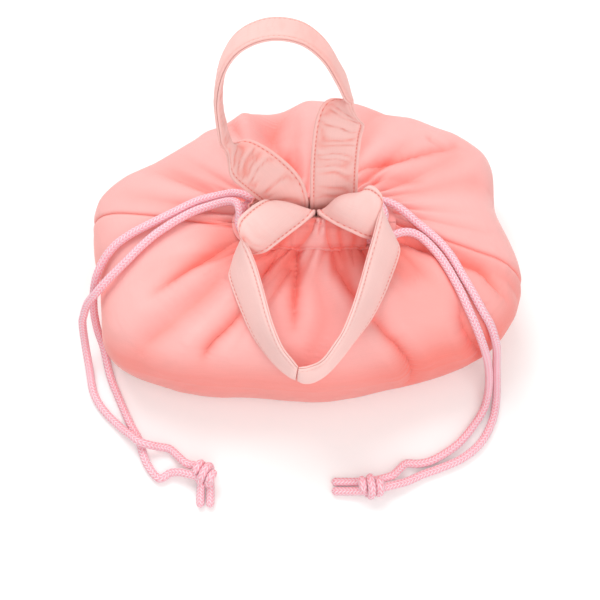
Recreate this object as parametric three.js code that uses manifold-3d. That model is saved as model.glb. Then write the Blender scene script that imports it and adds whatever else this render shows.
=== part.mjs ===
// A drawstring lunch bag of padded cloth: a rounded body sewn from a front, a back and a base
// panel, a gathered mouth with a cord channel on each side, two strap handles sewn inside the
// mouth, and two drawcords that cross the channels from opposite ends and are knotted.
// Millimetres, +Z up. The bag stands on z = 0 with its mouth over the origin and its front
// towards -Y.
import * as THREE from "three";
import { mergeVertices } from "three/addons/utils/BufferGeometryUtils.js";
import Module from "manifold-3d";

const wasm = await Module();
wasm.setup();

// Body of the bag
const bodyHalfLength = 130;
const bodyHalfDepth = 97;
const bodyCentreX = -5;
const bodyCentreY = 8;
const equatorHeight = 33;
const neckHeight = 71.5;
const neckHalfRun = 30;

// Cloth layers, from the outside in, and the clearance between pieces that are sewn or laid together
const outerCloth = 1.2;
const wadding = 2.5;
const liningCloth = 0.8;
const fitGap = 0.3;

// Mouth and cord channels
const mouthWidth = 4.5;
const cordDiameter = 5;
const channelClearance = 0.4;
const channelCloth = 0.8;
const cordSpacing = 6;
const channelLean = THREE.MathUtils.degToRad(33);
const ruffleHeight = 3.3;

// Handles
const strapWidth = 27;
const strapLayer = 1.4;
const strapReach = 103;
const frontPairShift = 1;
const frontLegOffset = 14;
const backPairShift = -3;
const backLegOffset = 14;
const backLean = THREE.MathUtils.degToRad(25);
const exitLift = 2.2;
const rootDepth = 12;

// Drawcords: how far each can be pulled, and the stub that stays in the channel when it is
const pullTravel = 15;
const stubKept = 3;

// Knots
const knotLoopRadius = 5;
const knotHeight = 7.6;
const knotLoopPitch = 5.2;
const knotLoopTilt = THREE.MathUtils.degToRad(20);

// Facets
const arcSteps = 4;
const runSteps = 10;
const halfSteps = 2 * arcSteps + runSteps;
const strapSteps = 44;
const lobeSteps = 20;
const cordSides = 10;
const channelSteps = 6;
const leafSteps = 3;
const endSteps = 6;
const bightSteps = 12;
const knotLoopSteps = 14;
const knotLoopSides = 8;
const slopeStepShare = 0.25;
const cordStep = 2 * cordDiameter;
const outlineSamples = 2000;

// The widest outline of the body, as shares of its half length and half depth, from the left
// seam through the front, and the share of its length at which the right seam stands.
const bodyOutlineShare = [
  [-1.05, 0.2], [-0.99, -0.22], [-0.93, -0.66], [-0.66, -0.84], [-0.3, -0.91], [0.1, -0.92],
  [0.45, -0.81], [0.82, -0.61], [0.96, -0.22], [0.88, 0.24], [0.83, 0.75], [0.43, 1.06],
  [0.08, 1.15], [-0.38, 1.0], [-0.72, 0.69], [-0.98, 0.46],
];
const rightSeamShare = 0.485;
// The base's outline as a share of the widest one, along X and Y
const baseShare = [0.86, 0.82];
// Rings of the wall: how far from the widest outline to the base or the neck, and how high
// between them
const lowerWallShare = [[1, 0], [0.85, 0.01], [0.5, 0.106], [0.2, 0.333], [0.05, 0.667]];
const upperWallShare = [
  [0, 0], [0.02, 0.26], [0.09, 0.506], [0.22, 0.688], [0.42, 0.792], [0.65, 0.87],
  [0.85, 0.935], [1, 1],
];

// The front handle lies forward over the bag. Its legs bend over the mouth's edge in slanted
// folds, turn down in two lobes and run to the front on their lower edge. Each row is the middle
// of the strap beside, in front of and above the place where the pair leaves the mouth, as shares
// of the reach, then the span from its inner edge at the mouth to its outer one as shares of the
// width.
const frontStrapShare = [
  [-0.126, 0.0, 0.0, -1.0, 0.0, 0.0],
  [-0.127, 0.009, 0.038, -1.01, -0.05, 0.16],
  [-0.139, 0.028, 0.067, -0.95, -0.17, 0.34],
  [-0.175, 0.062, 0.083, -0.81, -0.29, 0.51],
  [-0.231, 0.111, 0.09, -0.72, -0.34, 0.61],
  [-0.289, 0.163, 0.087, -0.65, -0.37, 0.63],
  [-0.336, 0.21, 0.08, -0.57, -0.36, 0.65],
  [-0.36, 0.228, 0.058, -0.39, -0.14, 0.74],
  [-0.382, 0.226, 0.017, -0.1, 0.1, 0.8],
  [-0.402, 0.228, -0.02, 0.19, 0.19, 0.81],
  [-0.408, 0.264, -0.063, 0.39, 0.05, 0.89],
  [-0.391, 0.339, -0.092, 0.58, 0.2, 0.79],
  [-0.343, 0.49, -0.108, 0.51, 0.14, 0.85],
  [-0.284, 0.653, -0.135, 0.4, 0.19, 0.9],
  [-0.217, 0.768, -0.179, 0.29, 0.27, 0.91],
  [-0.15, 0.829, -0.233, 0.19, 0.24, 0.95],
  [-0.085, 0.859, -0.285, 0.01, 0.19, 0.98],
  [-0.019, 0.852, -0.296, 0.0, 0.11, 0.97],
  [0.052, 0.833, -0.246, -0.06, 0.17, 0.99],
  [0.125, 0.768, -0.179, -0.14, 0.19, 0.97],
  [0.189, 0.687, -0.139, -0.26, 0.27, 0.93],
  [0.254, 0.57, -0.117, -0.38, 0.17, 0.91],
  [0.311, 0.434, -0.103, -0.52, 0.2, 0.83],
  [0.356, 0.303, -0.081, -0.59, 0.2, 0.81],
  [0.388, 0.213, -0.033, -0.55, 0.03, 0.92],
  [0.4, 0.168, 0.008, -0.52, -0.01, 0.91],
  [0.387, 0.121, 0.044, -0.3, 0.0, 0.89],
  [0.363, 0.103, 0.067, -0.01, -0.17, 0.92],
  [0.334, 0.101, 0.09, 0.22, -0.45, 0.88],
  [0.302, 0.095, 0.118, 0.3, -0.61, 0.84],
  [0.256, 0.075, 0.134, 0.4, -0.6, 0.84],
  [0.21, 0.056, 0.132, 0.53, -0.5, 0.79],
  [0.174, 0.039, 0.113, 0.73, -0.36, 0.62],
  [0.151, 0.02, 0.083, 0.93, -0.19, 0.41],
  [0.146, 0.008, 0.044, 1.0, -0.06, 0.19],
  [0.146, 0.0, 0.0, 1.0, 0.0, 0.0],
];
// Places among these rows where the strap folds up: the lobes outside them stay with the mouth
const leftLobeRow = 9.5;
const rightLobeRow = 24.5;

// The back handle stands and leans back. Each row is its place beside the middle of its legs and
// up the lean as shares of the reach, then its width direction beside, behind and up the lean.
const backStrapShare = [
  [-0.17, 0.09, 1, 0, 0],
  [-0.25, 0.19, 0.95, 0.25, 0.3],
  [-0.36, 0.29, 0.75, 0.65, 0.3],
  [-0.434, 0.39, 0.35, 0.95, 0],
  [-0.466, 0.53, 0, 1, 0],
  [-0.466, 0.68, 0, 1, 0],
  [-0.432, 0.825, 0, 1, 0],
  [-0.349, 0.945, 0, 1, 0],
  [-0.204, 1.005, 0, 1, 0],
  [-0.049, 0.985, 0, 1, 0],
  [0.068, 0.893, 0, 1, 0],
  [0.145, 0.762, 0, 1, 0],
  [0.194, 0.63, 0, 1, 0],
  [0.204, 0.52, -0.35, 0.95, 0],
  [0.185, 0.41, -0.75, 0.65, 0.2],
  [0.16, 0.3, -0.95, 0.25, 0.15],
  [0.14, 0.15, -1, 0, 0],
];

// Routes of the free cords, from the channel's mouth to the knot
const leftBackRoute = [
  [-36.5, 11.5, 81.2], [-42.5, 14.5, 80.5], [-48, 17.1, 77.5], [-54.5, 18, 74.3],
  [-61, 17.5, 72.6], [-68, 16, 71.4], [-75, 12.9, 70.6], [-82, 9.2, 69.7], [-96.5, 2, 67.6],
  [-108, -3.7, 65], [-117, -9.5, 61.7], [-124.5, -16.5, 55], [-129.8, -24.5, 45],
  [-132.5, -32, 29], [-131.5, -40.5, 16], [-128, -49.5, 8], [-123, -67, 3.6], [-116, -83, 2.8],
  [-109, -97.5, 2.8], [-103.5, -107, 2.8], [-100.5, -115.5, 2.8], [-97, -123.5, 2.8],
  [-90, -131.5, 2.8], [-83.5, -128.4, 3.4], [-77.5, -128.7, 5.4], [-73.2, -130.1, 6.4],
];
const leftFrontRoute = [
  [-36, -11, 80.6], [-40.5, -8, 81.5], [-42.4, -2.9, 82.3], [-43, 1.8, 82.4],
  [-44, 6.1, 81.7], [-46.4, 9.3, 80], [-50, 11.2, 77.6], [-55, 12, 74.8],
  [-61.1, 11.4, 72.7], [-67, 9.9, 71.6], [-72.6, 7.5, 70.9],
  [-77.3, 5, 70.2], [-82.1, 2.2, 69.5], [-87.3, -1.3, 68.7], [-92.4, -5, 67.9], [-96.9, -9, 67],
  [-101.5, -13.2, 65.8], [-108.3, -20.3, 63.8], [-113.6, -25, 61.4], [-121, -31, 57],
  [-127.5, -35, 50.5], [-133.5, -37, 42], [-137, -40, 33], [-138.5, -42.3, 27],
  [-138.7, -48.6, 13], [-136.3, -61.3, 4.6], [-132.6, -77, 2.8], [-125.6, -88.6, 2.8],
  [-115, -99.5, 3.6], [-108, -106, 7], [-103, -110.4, 8.5], [-97.5, -112.3, 7.8],
  [-91, -112.6, 4.6], [-84.8, -113.5, 3.4], [-79.5, -118.4, 4.3], [-76, -122, 5.6],
  [-72.3, -124.3, 6.3],
];
const rightBackRoute = [
  [37, 13, 76.1], [43.5, 10.8, 77.3], [49.5, 6.8, 77.6], [55, 2.5, 76.1], [60, -1.3, 73.9],
  [66, -6, 72.1], [73, -12.8, 70.6], [79.5, -22, 69.1], [84.7, -32.5, 67.6],
  [90, -42.5, 65.6], [95.6, -52.5, 61.5], [100.3, -58.3, 55.9], [103.6, -62.6, 48.2],
  [106.5, -64.8, 36], [108.5, -67, 20], [109.8, -74, 8], [109.3, -84, 3.2],
  [106, -96, 2.8], [98.5, -109.2, 2.8], [87, -119, 2.8], [74, -125, 2.8],
  [63.3, -129, 2.9], [54, -133.6, 3.9], [47.5, -136, 5.6], [42.6, -137.6, 6.4],
];
const rightFrontRoute = [
  [37, -13.6, 75.9], [41.8, -12.8, 76.4], [46.3, -11, 76.5], [50.8, -9, 76], [55.6, -8.2, 74.6],
  [60.4, -9.4, 73.1], [64.7, -12.6, 71.8], [69.2, -17.6, 70.8], [74, -24.4, 69.6],
  [79.2, -34.2, 68.1], [84, -44.4, 65.9], [87.5, -52, 62.8], [91.6, -59.3, 57.6],
  [95.8, -65.8, 49.6], [100.2, -68.9, 36], [103.6, -71, 20], [104.6, -77.3, 8],
  [101.8, -87.5, 3.2], [94.3, -99.2, 2.8], [84.3, -110.6, 2.8], [70.8, -119.6, 2.8],
  [61.5, -122.4, 2.8], [54, -122.4, 2.9], [49.5, -126.4, 4.2], [45.6, -130.6, 5.9],
  [41, -132.4, 6.4],
];

// Routes of the cord ends through each knot and out as its tails
const leftKnot = {
  centre: [-63, -130.5],
  towardsCords: [-0.95, 0.31],
  strands: [
    [
      [-72.9, -130.2, 6.5], [-68.5, -131.6, 7.4], [-65, -134.5, 7], [-65.4, -141, 3.6],
      [-65.4, -149, 2.6],
    ],
    [
      [-71.3, -124.9, 6.5], [-65, -126.6, 7.8], [-60.2, -131.5, 7], [-59.8, -140.5, 3.6],
      [-59.8, -149, 2.6],
    ],
  ],
};
const rightKnot = {
  centre: [32.5, -138],
  towardsCords: [0.95, 0.3],
  strands: [
    [
      [40.7, -132.5, 6.5], [36, -134.2, 7.4], [31, -135.2, 7.2], [22, -134, 3.8],
      [10, -133.6, 2.6],
    ],
    [
      [42.3, -137.7, 6.5], [37.5, -139.3, 7.4], [32, -140.6, 7.2], [22, -139.6, 3.8],
      [10, -139.2, 2.6],
    ],
  ],
};

// Worked out from the sizes above
const strapThickness = 2 * strapLayer + fitGap;
const strapHalf = strapThickness / 2;
const exitY = mouthWidth / 2 + strapHalf;
const collarInner = mouthWidth / 2 + strapThickness + fitGap;
const collarOuter = collarInner + liningCloth;
const rimInner = collarOuter + fitGap;
const cordRadius = cordDiameter / 2;
const cavityRadius = cordRadius + channelClearance;
const channelRadius = cavityRadius + channelCloth;
const upperCordY = rimInner + channelRadius;
const lowerCordY = upperCordY + cordSpacing * Math.sin(channelLean);
const lowerCordZ = neckHeight + fitGap + channelRadius;
const upperCordZ = lowerCordZ + cordSpacing * Math.cos(channelLean);
const rimHeight = upperCordZ + channelRadius + ruffleHeight;
const neckHalfDepth = lowerCordY + channelRadius;
const exitZ = rimHeight + exitLift;
const stubEnd = neckHalfRun - pullTravel - stubKept;
const waddingDepth = outerCloth + fitGap;
const liningDepth = waddingDepth + wadding + fitGap;

const salmonCloth = { color: 0xf59a94, roughness: 0.85, metalness: 0 };
const peachCloth = { color: 0xf9cbc6, roughness: 0.85, metalness: 0 };
const liningColour = { color: 0xe8b9b2, roughness: 0.9, metalness: 0 };
const waddingColour = { color: 0xf4f1ec, roughness: 1, metalness: 0 };
const cordBraid = { color: 0xf8b6cb, roughness: 0.6, metalness: 0 };

const bag = new THREE.Group();

function addPiece(parent, name, geometry, material) {
  const mesh = new THREE.Mesh(geometry, new THREE.MeshStandardMaterial(material));
  mesh.name = name;
  parent.add(mesh);
  return mesh;
}

// Turns a closed indexed geometry's faces outward, told by the sign of its volume
function outward(geometry) {
  const position = geometry.getAttribute("position");
  const index = geometry.getIndex();
  const [a, b, c] = [new THREE.Vector3(), new THREE.Vector3(), new THREE.Vector3()];
  let volume = 0;
  for (let i = 0; i < index.count; i += 3) {
    a.fromBufferAttribute(position, index.getX(i));
    b.fromBufferAttribute(position, index.getX(i + 1));
    c.fromBufferAttribute(position, index.getX(i + 2));
    volume += a.dot(b.cross(c));
  }
  if (volume < 0) {
    for (let i = 0; i < index.count; i += 3) {
      const kept = index.getX(i + 1);
      index.setX(i + 1, index.getX(i + 2));
      index.setX(i + 2, kept);
    }
  }
  return geometry;
}

// A closed body through rings that run up one face and back down the other, capped at both ends
// by a strip between the two faces
function loft(rings) {
  const count = rings[0].length;
  const positions = [];
  rings.forEach((ring) => ring.forEach((point) => positions.push(point.x, point.y, point.z)));
  const triangles = [];
  for (let r = 0; r < rings.length - 1; r += 1) {
    for (let k = 0; k < count; k += 1) {
      const next = (k + 1) % count;
      const [a, b] = [r * count + k, r * count + next];
      const [c, d] = [a + count, b + count];
      triangles.push(a, b, d, a, d, c);
    }
  }
  const last = (rings.length - 1) * count;
  for (let k = 0; k < count / 2 - 1; k += 1) {
    const [a, b, c, d] = [k, k + 1, count - 2 - k, count - 1 - k];
    triangles.push(a, c, b, a, d, c);
    triangles.push(last + a, last + b, last + c, last + a, last + c, last + d);
  }
  const geometry = new THREE.BufferGeometry();
  geometry.setAttribute("position", new THREE.Float32BufferAttribute(positions, 3));
  geometry.setIndex(triangles);
  return outward(geometry);
}

function toSolid(geometry) {
  const bare = geometry.clone();
  bare.deleteAttribute("normal");
  bare.deleteAttribute("uv");
  const merged = outward(mergeVertices(bare));
  const vertProperties = new Float32Array(merged.getAttribute("position").array);
  const triVerts = new Uint32Array(merged.getIndex().array);
  return new wasm.Manifold(new wasm.Mesh({ numProp: 3, vertProperties, triVerts }));
}

function toGeometry(solid) {
  const mesh = solid.getMesh();
  const geometry = new THREE.BufferGeometry();
  geometry.setAttribute("position", new THREE.Float32BufferAttribute(mesh.vertProperties, 3));
  geometry.setIndex(Array.from(mesh.triVerts));
  return geometry;
}

function joinAll(geometries) {
  const [first, ...rest] = geometries.map(toSolid);
  return rest.reduce((whole, piece) => whole.add(piece), first);
}

// Body wall. A place on it is a ring and a turn: turns 0 to 1 run from the left seam to the right
// one through the front, and 1 to 2 back through the rear.
const bodyCurve = new THREE.CatmullRomCurve3(
  bodyOutlineShare.map(([x, y]) => new THREE.Vector3(x * bodyHalfLength, y * bodyHalfDepth, 0)),
  true,
  "catmullrom",
  0.5,
);
bodyCurve.arcLengthDivisions = outlineSamples;

function bodyPoint(turn) {
  const share = turn < 1 ? turn * rightSeamShare : rightSeamShare + (turn - 1) * (1 - rightSeamShare);
  return bodyCurve.getPointAt(((share % 1) + 1) % 1);
}

function basePoint(turn) {
  const point = bodyPoint(turn);
  return new THREE.Vector3(
    bodyCentreX + (point.x - bodyCentreX) * baseShare[0],
    bodyCentreY + (point.y - bodyCentreY) * baseShare[1],
    0,
  );
}

// The mouth's outlines are two straight runs joined by half circles of the given radius
function mouthPoint(turn, radius, height) {
  const side = turn > 1 ? 1 : -1;
  const along = (turn > 1 ? 2 - turn : turn) * halfSteps;
  if (along < arcSteps || along > arcSteps + runSteps) {
    const end = along < arcSteps ? -1 : 1;
    const reach = along < arcSteps ? along : halfSteps - along;
    const angle = (reach / arcSteps) * (Math.PI / 2);
    const x = end * (neckHalfRun + radius * Math.cos(angle));
    return new THREE.Vector3(x, side * radius * Math.sin(angle), height);
  }
  const x = neckHalfRun * (2 * (along - arcSteps) / runSteps - 1);
  return new THREE.Vector3(x, side * radius, height);
}

const wallRings = [
  ...lowerWallShare.map(([inward, up]) => ({ toBase: inward, toNeck: 0, z: up * equatorHeight })),
  ...upperWallShare.map(([inward, up]) => ({
    toBase: 0,
    toNeck: inward,
    z: equatorHeight + up * (neckHeight - equatorHeight),
  })),
];

function wallPoint(ring, turn) {
  const { toBase, toNeck, z } = wallRings[ring];
  const point = bodyPoint(turn);
  point.lerp(basePoint(turn), toBase);
  point.lerp(mouthPoint(turn, neckHalfDepth, 0), toNeck);
  point.z = z;
  return point;
}

function wallNormal(ring, turn) {
  if (ring === 0) return new THREE.Vector3(0, 0, -1);
  const step = slopeStepShare / halfSteps;
  const around = wallPoint(ring, turn + step).sub(wallPoint(ring, turn - step));
  const upper = Math.min(ring + 1, wallRings.length - 1);
  const up = wallPoint(upper, turn).sub(wallPoint(ring - 1, turn));
  return around.cross(up).normalize();
}

function wallAt(ring, turn, depth) {
  return wallPoint(ring, turn).addScaledVector(wallNormal(ring, turn), -depth);
}

// The seam's gap is set at the neck, where the panels are narrowest
const seamTurn = (fitGap / 2) / ((neckHalfDepth * Math.PI / 2) / arcSteps) / halfSteps;

function panelTurns(start) {
  const turns = [];
  for (let k = 0; k <= halfSteps; k += 1) turns.push(start + k / halfSteps);
  turns[0] += seamTurn;
  turns[halfSteps] -= seamTurn;
  return turns;
}

// One panel's layer from the base to the neck. A collar adds places above the neck as pairs of
// outer and inner radius and height.
function panelLayer(start, outerDepth, thickness, collar = []) {
  const rings = panelTurns(start).map((turn) => {
    const outer = wallRings.map((_, ring) => wallAt(ring, turn, outerDepth));
    const inner = wallRings.map((_, ring) => wallAt(ring, turn, outerDepth + thickness));
    collar.forEach((row) => {
      outer.push(mouthPoint(turn, row.outer[0], row.outer[1]));
      inner.push(mouthPoint(turn, row.inner[0], row.inner[1]));
    });
    return [...outer, ...inner.reverse()];
  });
  return loft(rings);
}

// One layer of the base, a flat plate just inside the walls' lower edges
function baseLayer(bottom, thickness) {
  const turns = [...panelTurns(0).slice(0, -1), ...panelTurns(1).slice(0, -1)];
  const outline = turns.map((turn) => {
    const point = basePoint(turn);
    const ahead = basePoint(turn + seamTurn);
    const inward = new THREE.Vector2(-(ahead.y - point.y), ahead.x - point.x).normalize();
    return new THREE.Vector2(point.x, point.y).addScaledVector(inward, fitGap);
  });
  const plate = new THREE.ExtrudeGeometry(new THREE.Shape(outline), {
    depth: thickness,
    bevelEnabled: false,
  });
  return plate.translate(0, 0, bottom);
}

function addBody() {
  const collar = [
    {
      outer: [collarOuter, lowerCordZ],
      inner: [collarInner, lowerCordZ - liningCloth / 2],
    },
    { outer: [collarOuter, rimHeight], inner: [collarInner, rimHeight] },
  ];
  ["front", "back"].forEach((side, start) => {
    addPiece(bag, `outer_${side}_panel`, panelLayer(start, 0, outerCloth), salmonCloth);
    addPiece(bag, `wadding_${side}`, panelLayer(start, waddingDepth, wadding), waddingColour);
    const lining = panelLayer(start, liningDepth, liningCloth, collar);
    addPiece(bag, `lining_${side}`, lining, liningColour);
  });
  addPiece(bag, "outer_base_panel", baseLayer(0, outerCloth), salmonCloth);
  addPiece(bag, "wadding_base", baseLayer(waddingDepth, wadding), waddingColour);
  addPiece(bag, "lining_base", baseLayer(liningDepth, liningCloth), liningColour);
}

// Section of a cord channel as points of distance from the mouth's middle and height
function onCircle(y, z, radius, angle) {
  return [y + radius * Math.cos(angle), z + radius * Math.sin(angle)];
}

function channelOutline(radius) {
  const points = [];
  for (let k = 0; k <= channelSteps; k += 1) {
    const angle = channelLean + Math.PI * (k / channelSteps);
    points.push(onCircle(upperCordY, upperCordZ, radius, angle));
  }
  for (let k = 0; k <= channelSteps; k += 1) {
    const angle = channelLean + Math.PI * (1 + k / channelSteps);
    points.push(onCircle(lowerCordY, lowerCordZ, radius, angle));
  }
  return points;
}

// The channel's inner leaf, from beside the upper cord down round the lower one
function leafLine(radius) {
  const turned = Math.PI + channelLean;
  const points = [onCircle(upperCordY, upperCordZ, radius, Math.PI)];
  points.push(onCircle(upperCordY, upperCordZ, radius, turned));
  for (let k = 0; k <= leafSteps; k += 1) {
    const angle = turned + (1.5 * Math.PI - turned) * (k / leafSteps);
    points.push(onCircle(lowerCordY, lowerCordZ, radius, angle));
  }
  return points;
}

// A straight bar along X over the neck's run, from its section
function runBar(side, section) {
  const shape = new THREE.Shape(section.map(([y, z]) => new THREE.Vector2(side * y, z)));
  const bar = new THREE.ExtrudeGeometry(shape, { depth: 2 * neckHalfRun, bevelEnabled: false });
  const axes = new THREE.Matrix4().makeBasis(
    new THREE.Vector3(0, 1, 0),
    new THREE.Vector3(0, 0, 1),
    new THREE.Vector3(1, 0, 0),
  );
  return bar.applyMatrix4(axes).translate(-neckHalfRun, 0, 0);
}

// Past the channel only its inner leaf goes on, round the mouth's end to the side seam
function endLeaf(side, end) {
  const section = [
    [rimInner, rimHeight],
    ...leafLine(channelRadius),
    [neckHalfDepth, neckHeight + fitGap],
    [neckHalfDepth, neckHeight + fitGap + channelCloth],
    ...leafLine(cavityRadius).reverse(),
    [rimInner + channelCloth, rimHeight],
  ];
  const lapX = end * (neckHalfRun - channelCloth);
  const rings = [section.map(([r, z]) => new THREE.Vector3(lapX, side * r, z))];
  for (let k = 0; k <= endSteps; k += 1) {
    const angle = (k / endSteps) * (Math.PI / 2);
    rings.push(section.map(([r, z]) => {
      const x = end * (neckHalfRun + r * Math.sin(angle));
      const y = Math.max(r * Math.cos(angle), fitGap / 2);
      return new THREE.Vector3(x, side * y, z);
    }));
  }
  return loft(rings);
}

function addCasings() {
  const bottom = neckHeight + fitGap;
  const ruffle = [
    [rimInner, upperCordZ],
    [rimInner + 2 * channelCloth, upperCordZ],
    [rimInner + 2 * channelCloth, rimHeight],
    [rimInner, rimHeight],
  ];
  const hem = [
    [lowerCordY, bottom],
    [neckHalfDepth, bottom],
    [neckHalfDepth, bottom + channelCloth],
    [lowerCordY, bottom + channelCloth],
  ];
  [["front", -1], ["back", 1]].forEach(([name, side]) => {
    const walls = joinAll([
      runBar(side, channelOutline(channelRadius)),
      runBar(side, ruffle),
      runBar(side, hem),
    ]);
    const channel = walls.subtract(toSolid(runBar(side, channelOutline(cavityRadius))));
    const casing = channel.add(toSolid(endLeaf(side, -1))).add(toSolid(endLeaf(side, 1)));
    addPiece(bag, `casing_${name}`, toGeometry(casing), salmonCloth);
  });
}

// Handles. Each strap's rings span its width across a layer's two faces
function strapLine(places, spans, steps, from = 0, to = places.length - 1) {
  const centres = new THREE.CatmullRomCurve3(places, false, "catmullrom", 0.5);
  const across = new THREE.CatmullRomCurve3(spans, false, "catmullrom", 0.5);
  const frames = [];
  for (let k = 0; k <= steps; k += 1) {
    const t = (from + (to - from) * (k / steps)) / (places.length - 1);
    const along = centres.getTangent(t);
    const span = across.getPoint(t);
    const out = along.clone().cross(span).normalize();
    frames.push({ centre: centres.getPoint(t), along, span, out, limit: strapHalf });
  }
  return frames;
}

function strapRings(frames, near, far) {
  return frames.map(({ centre, span, out, limit }) => {
    const corner = (across, off) => centre.clone()
      .addScaledVector(span, across * strapWidth / 2)
      .addScaledVector(out, Math.sign(off) * Math.min(Math.abs(off), limit));
    return [corner(-1, near), corner(1, near), corner(1, far), corner(-1, far)];
  });
}

function addHandle(name, frames) {
  const near = fitGap / 2;
  addPiece(bag, `handle_${name}_outer`, loft(strapRings(frames, near, strapHalf)), peachCloth);
  addPiece(bag, `handle_${name}_facing`, loft(strapRings(frames, -near, -strapHalf)), peachCloth);
}

// The front handle folds up where its legs leave the lobes. Each lobe is one sewn end of the
// strap: it comes up from inside the mouth, bends over its edge and lies forward.
function addFrontHandle() {
  const places = frontStrapShare.map(([x, ahead, up]) => new THREE.Vector3(
    x * strapReach,
    -exitY - ahead * strapReach,
    exitZ + up * strapReach,
  ));
  const spans = frontStrapShare.map(([, , , x, ahead, up]) => new THREE.Vector3(x, -ahead, up));
  const lastRow = places.length - 1;
  addHandle("front", strapLine(places, spans, strapSteps, leftLobeRow, rightLobeRow));
  const lobes = [
    ["left", -1, strapLine(places, spans, lobeSteps, 0, leftLobeRow)],
    ["right", 1, strapLine(places, spans, lobeSteps, lastRow, rightLobeRow)],
  ];
  lobes.forEach(([end, sign, frames]) => {
    const last = frames[frames.length - 1];
    last.centre.addScaledVector(last.along, sign * fitGap);
    const sewn = {
      centre: new THREE.Vector3(frontPairShift + sign * frontLegOffset, -exitY, exitZ - rootDepth),
      span: new THREE.Vector3(sign, 0, 0),
      out: new THREE.Vector3(0, -1, 0),
      limit: strapHalf,
    };
    const rings = strapRings([sewn, ...frames], -strapHalf, strapHalf);
    addPiece(bag, `handle_front_root_${end}`, loft(rings), peachCloth);
  });
}

// The back handle stands and swings about the line where it leaves the mouth: there its layers
// round off, so that it clears its sewn ends.
function roundedRoots(frames) {
  const first = frames[0];
  const last = frames[frames.length - 1];
  const endShares = [0.97, 0.84, 0.5];
  const cap = (frame, sign) => endShares.map((share) => ({
    ...frame,
    centre: frame.centre.clone().addScaledVector(frame.along, sign * share * strapHalf),
    limit: strapHalf * Math.sqrt(1 - share * share),
  }));
  return [...cap(first, -1), ...frames, ...cap(last, 1).reverse()];
}

function addBackHandle() {
  const up = new THREE.Vector3(0, Math.sin(backLean), Math.cos(backLean));
  const behind = new THREE.Vector3(0, Math.cos(backLean), -Math.sin(backLean));
  const place = (x, height) => new THREE.Vector3(backPairShift + x, exitY, exitZ)
    .addScaledVector(up, height);
  const places = backStrapShare.map(([x, height]) => place(x * strapReach, height * strapReach));
  const widths = backStrapShare.map((row) => new THREE.Vector3(row[2], 0, 0)
    .addScaledVector(behind, row[3])
    .addScaledVector(up, row[4]));
  const frames = strapLine(
    [place(-backLegOffset, 0), ...places, place(backLegOffset, 0)],
    [new THREE.Vector3(1, 0, 0), ...widths, new THREE.Vector3(-1, 0, 0)],
    strapSteps,
  );
  [frames[0], frames[strapSteps]].forEach((frame) => frame.along.setX(0).normalize());
  frames.forEach((frame) => {
    const { along, span, out } = frame;
    span.addScaledVector(along, -span.dot(along)).normalize();
    out.copy(along).cross(span);
  });
  addHandle("back", roundedRoots(frames));
}

// The back straps' sewn ends stand inside the mouth, against the lining
function addBackRoots() {
  const top = exitZ - strapHalf - fitGap;
  [["left", -1], ["right", 1]].forEach(([end, sign]) => {
    const root = new THREE.BoxGeometry(strapWidth, strapThickness, rootDepth);
    const mesh = addPiece(bag, `handle_back_root_${end}`, root, peachCloth);
    mesh.position.set(backPairShift + sign * backLegOffset, exitY, top - rootDepth / 2);
  });
}

function cordTube(points) {
  const path = new THREE.CatmullRomCurve3(points.map((point) => new THREE.Vector3(...point)));
  const section = new THREE.Shape();
  for (let k = 0; k < cordSides; k += 1) {
    const angle = (k / cordSides) * 2 * Math.PI;
    const [x, y] = [cordRadius * Math.cos(angle), cordRadius * Math.sin(angle)];
    if (k === 0) section.moveTo(x, y);
    else section.lineTo(x, y);
  }
  const steps = Math.ceil(path.getLength() / cordStep);
  return new THREE.ExtrudeGeometry(section, { steps, extrudePath: path, bevelEnabled: false });
}

// Inside the bag's mouth each cord runs through both channels and round the far end, the left
// cord above the right one. Its stubs meet the free lengths inside the channels.
function bightSolid(end, radius, z) {
  const start = fitGap - stubEnd;
  const stations = [{ x: start, y: -radius, angle: 0 }];
  for (let k = 0; k <= bightSteps; k += 1) {
    const angle = Math.PI * (k / bightSteps);
    const x = neckHalfRun + radius * Math.sin(angle);
    stations.push({ x, y: -radius * Math.cos(angle), angle });
  }
  stations.push({ x: start, y: radius, angle: Math.PI });
  return loft(stations.map(({ x, y, angle }) => {
    const ring = [];
    for (let k = 0; k < cordSides; k += 1) {
      const turn = (k / cordSides) * 2 * Math.PI;
      const out = cordRadius * Math.cos(turn);
      ring.push(new THREE.Vector3(
        end * (x + out * Math.sin(angle)),
        y - out * Math.cos(angle),
        z + cordRadius * Math.sin(turn),
      ));
    }
    return ring;
  }));
}

function strandRoute(end, side, z, route) {
  const y = side * (z === upperCordZ ? upperCordY : lowerCordY);
  const inside = [[end * stubEnd, y, z], [end * (stubEnd + neckHalfRun) / 2, y, z]];
  return [...inside, [end * neckHalfRun, y, z], ...route];
}

// A knot holds both ends of a cord: two turns of cord round the pair, and the tails past them
function knotSolid({ centre, towardsCords, strands }) {
  const towards = new THREE.Vector3(towardsCords[0], towardsCords[1], 0).normalize();
  const turns = [-1, 1].map((side) => {
    const loop = new THREE.TorusGeometry(knotLoopRadius, cordRadius, knotLoopSides, knotLoopSteps);
    loop.rotateY(Math.PI / 2);
    loop.rotateZ(Math.atan2(towards.y, towards.x) + side * knotLoopTilt);
    return loop.translate(
      centre[0] + side * towards.x * knotLoopPitch / 2,
      centre[1] + side * towards.y * knotLoopPitch / 2,
      knotHeight,
    );
  });
  return toGeometry(joinAll([...turns, ...strands.map(cordTube)]));
}

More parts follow.
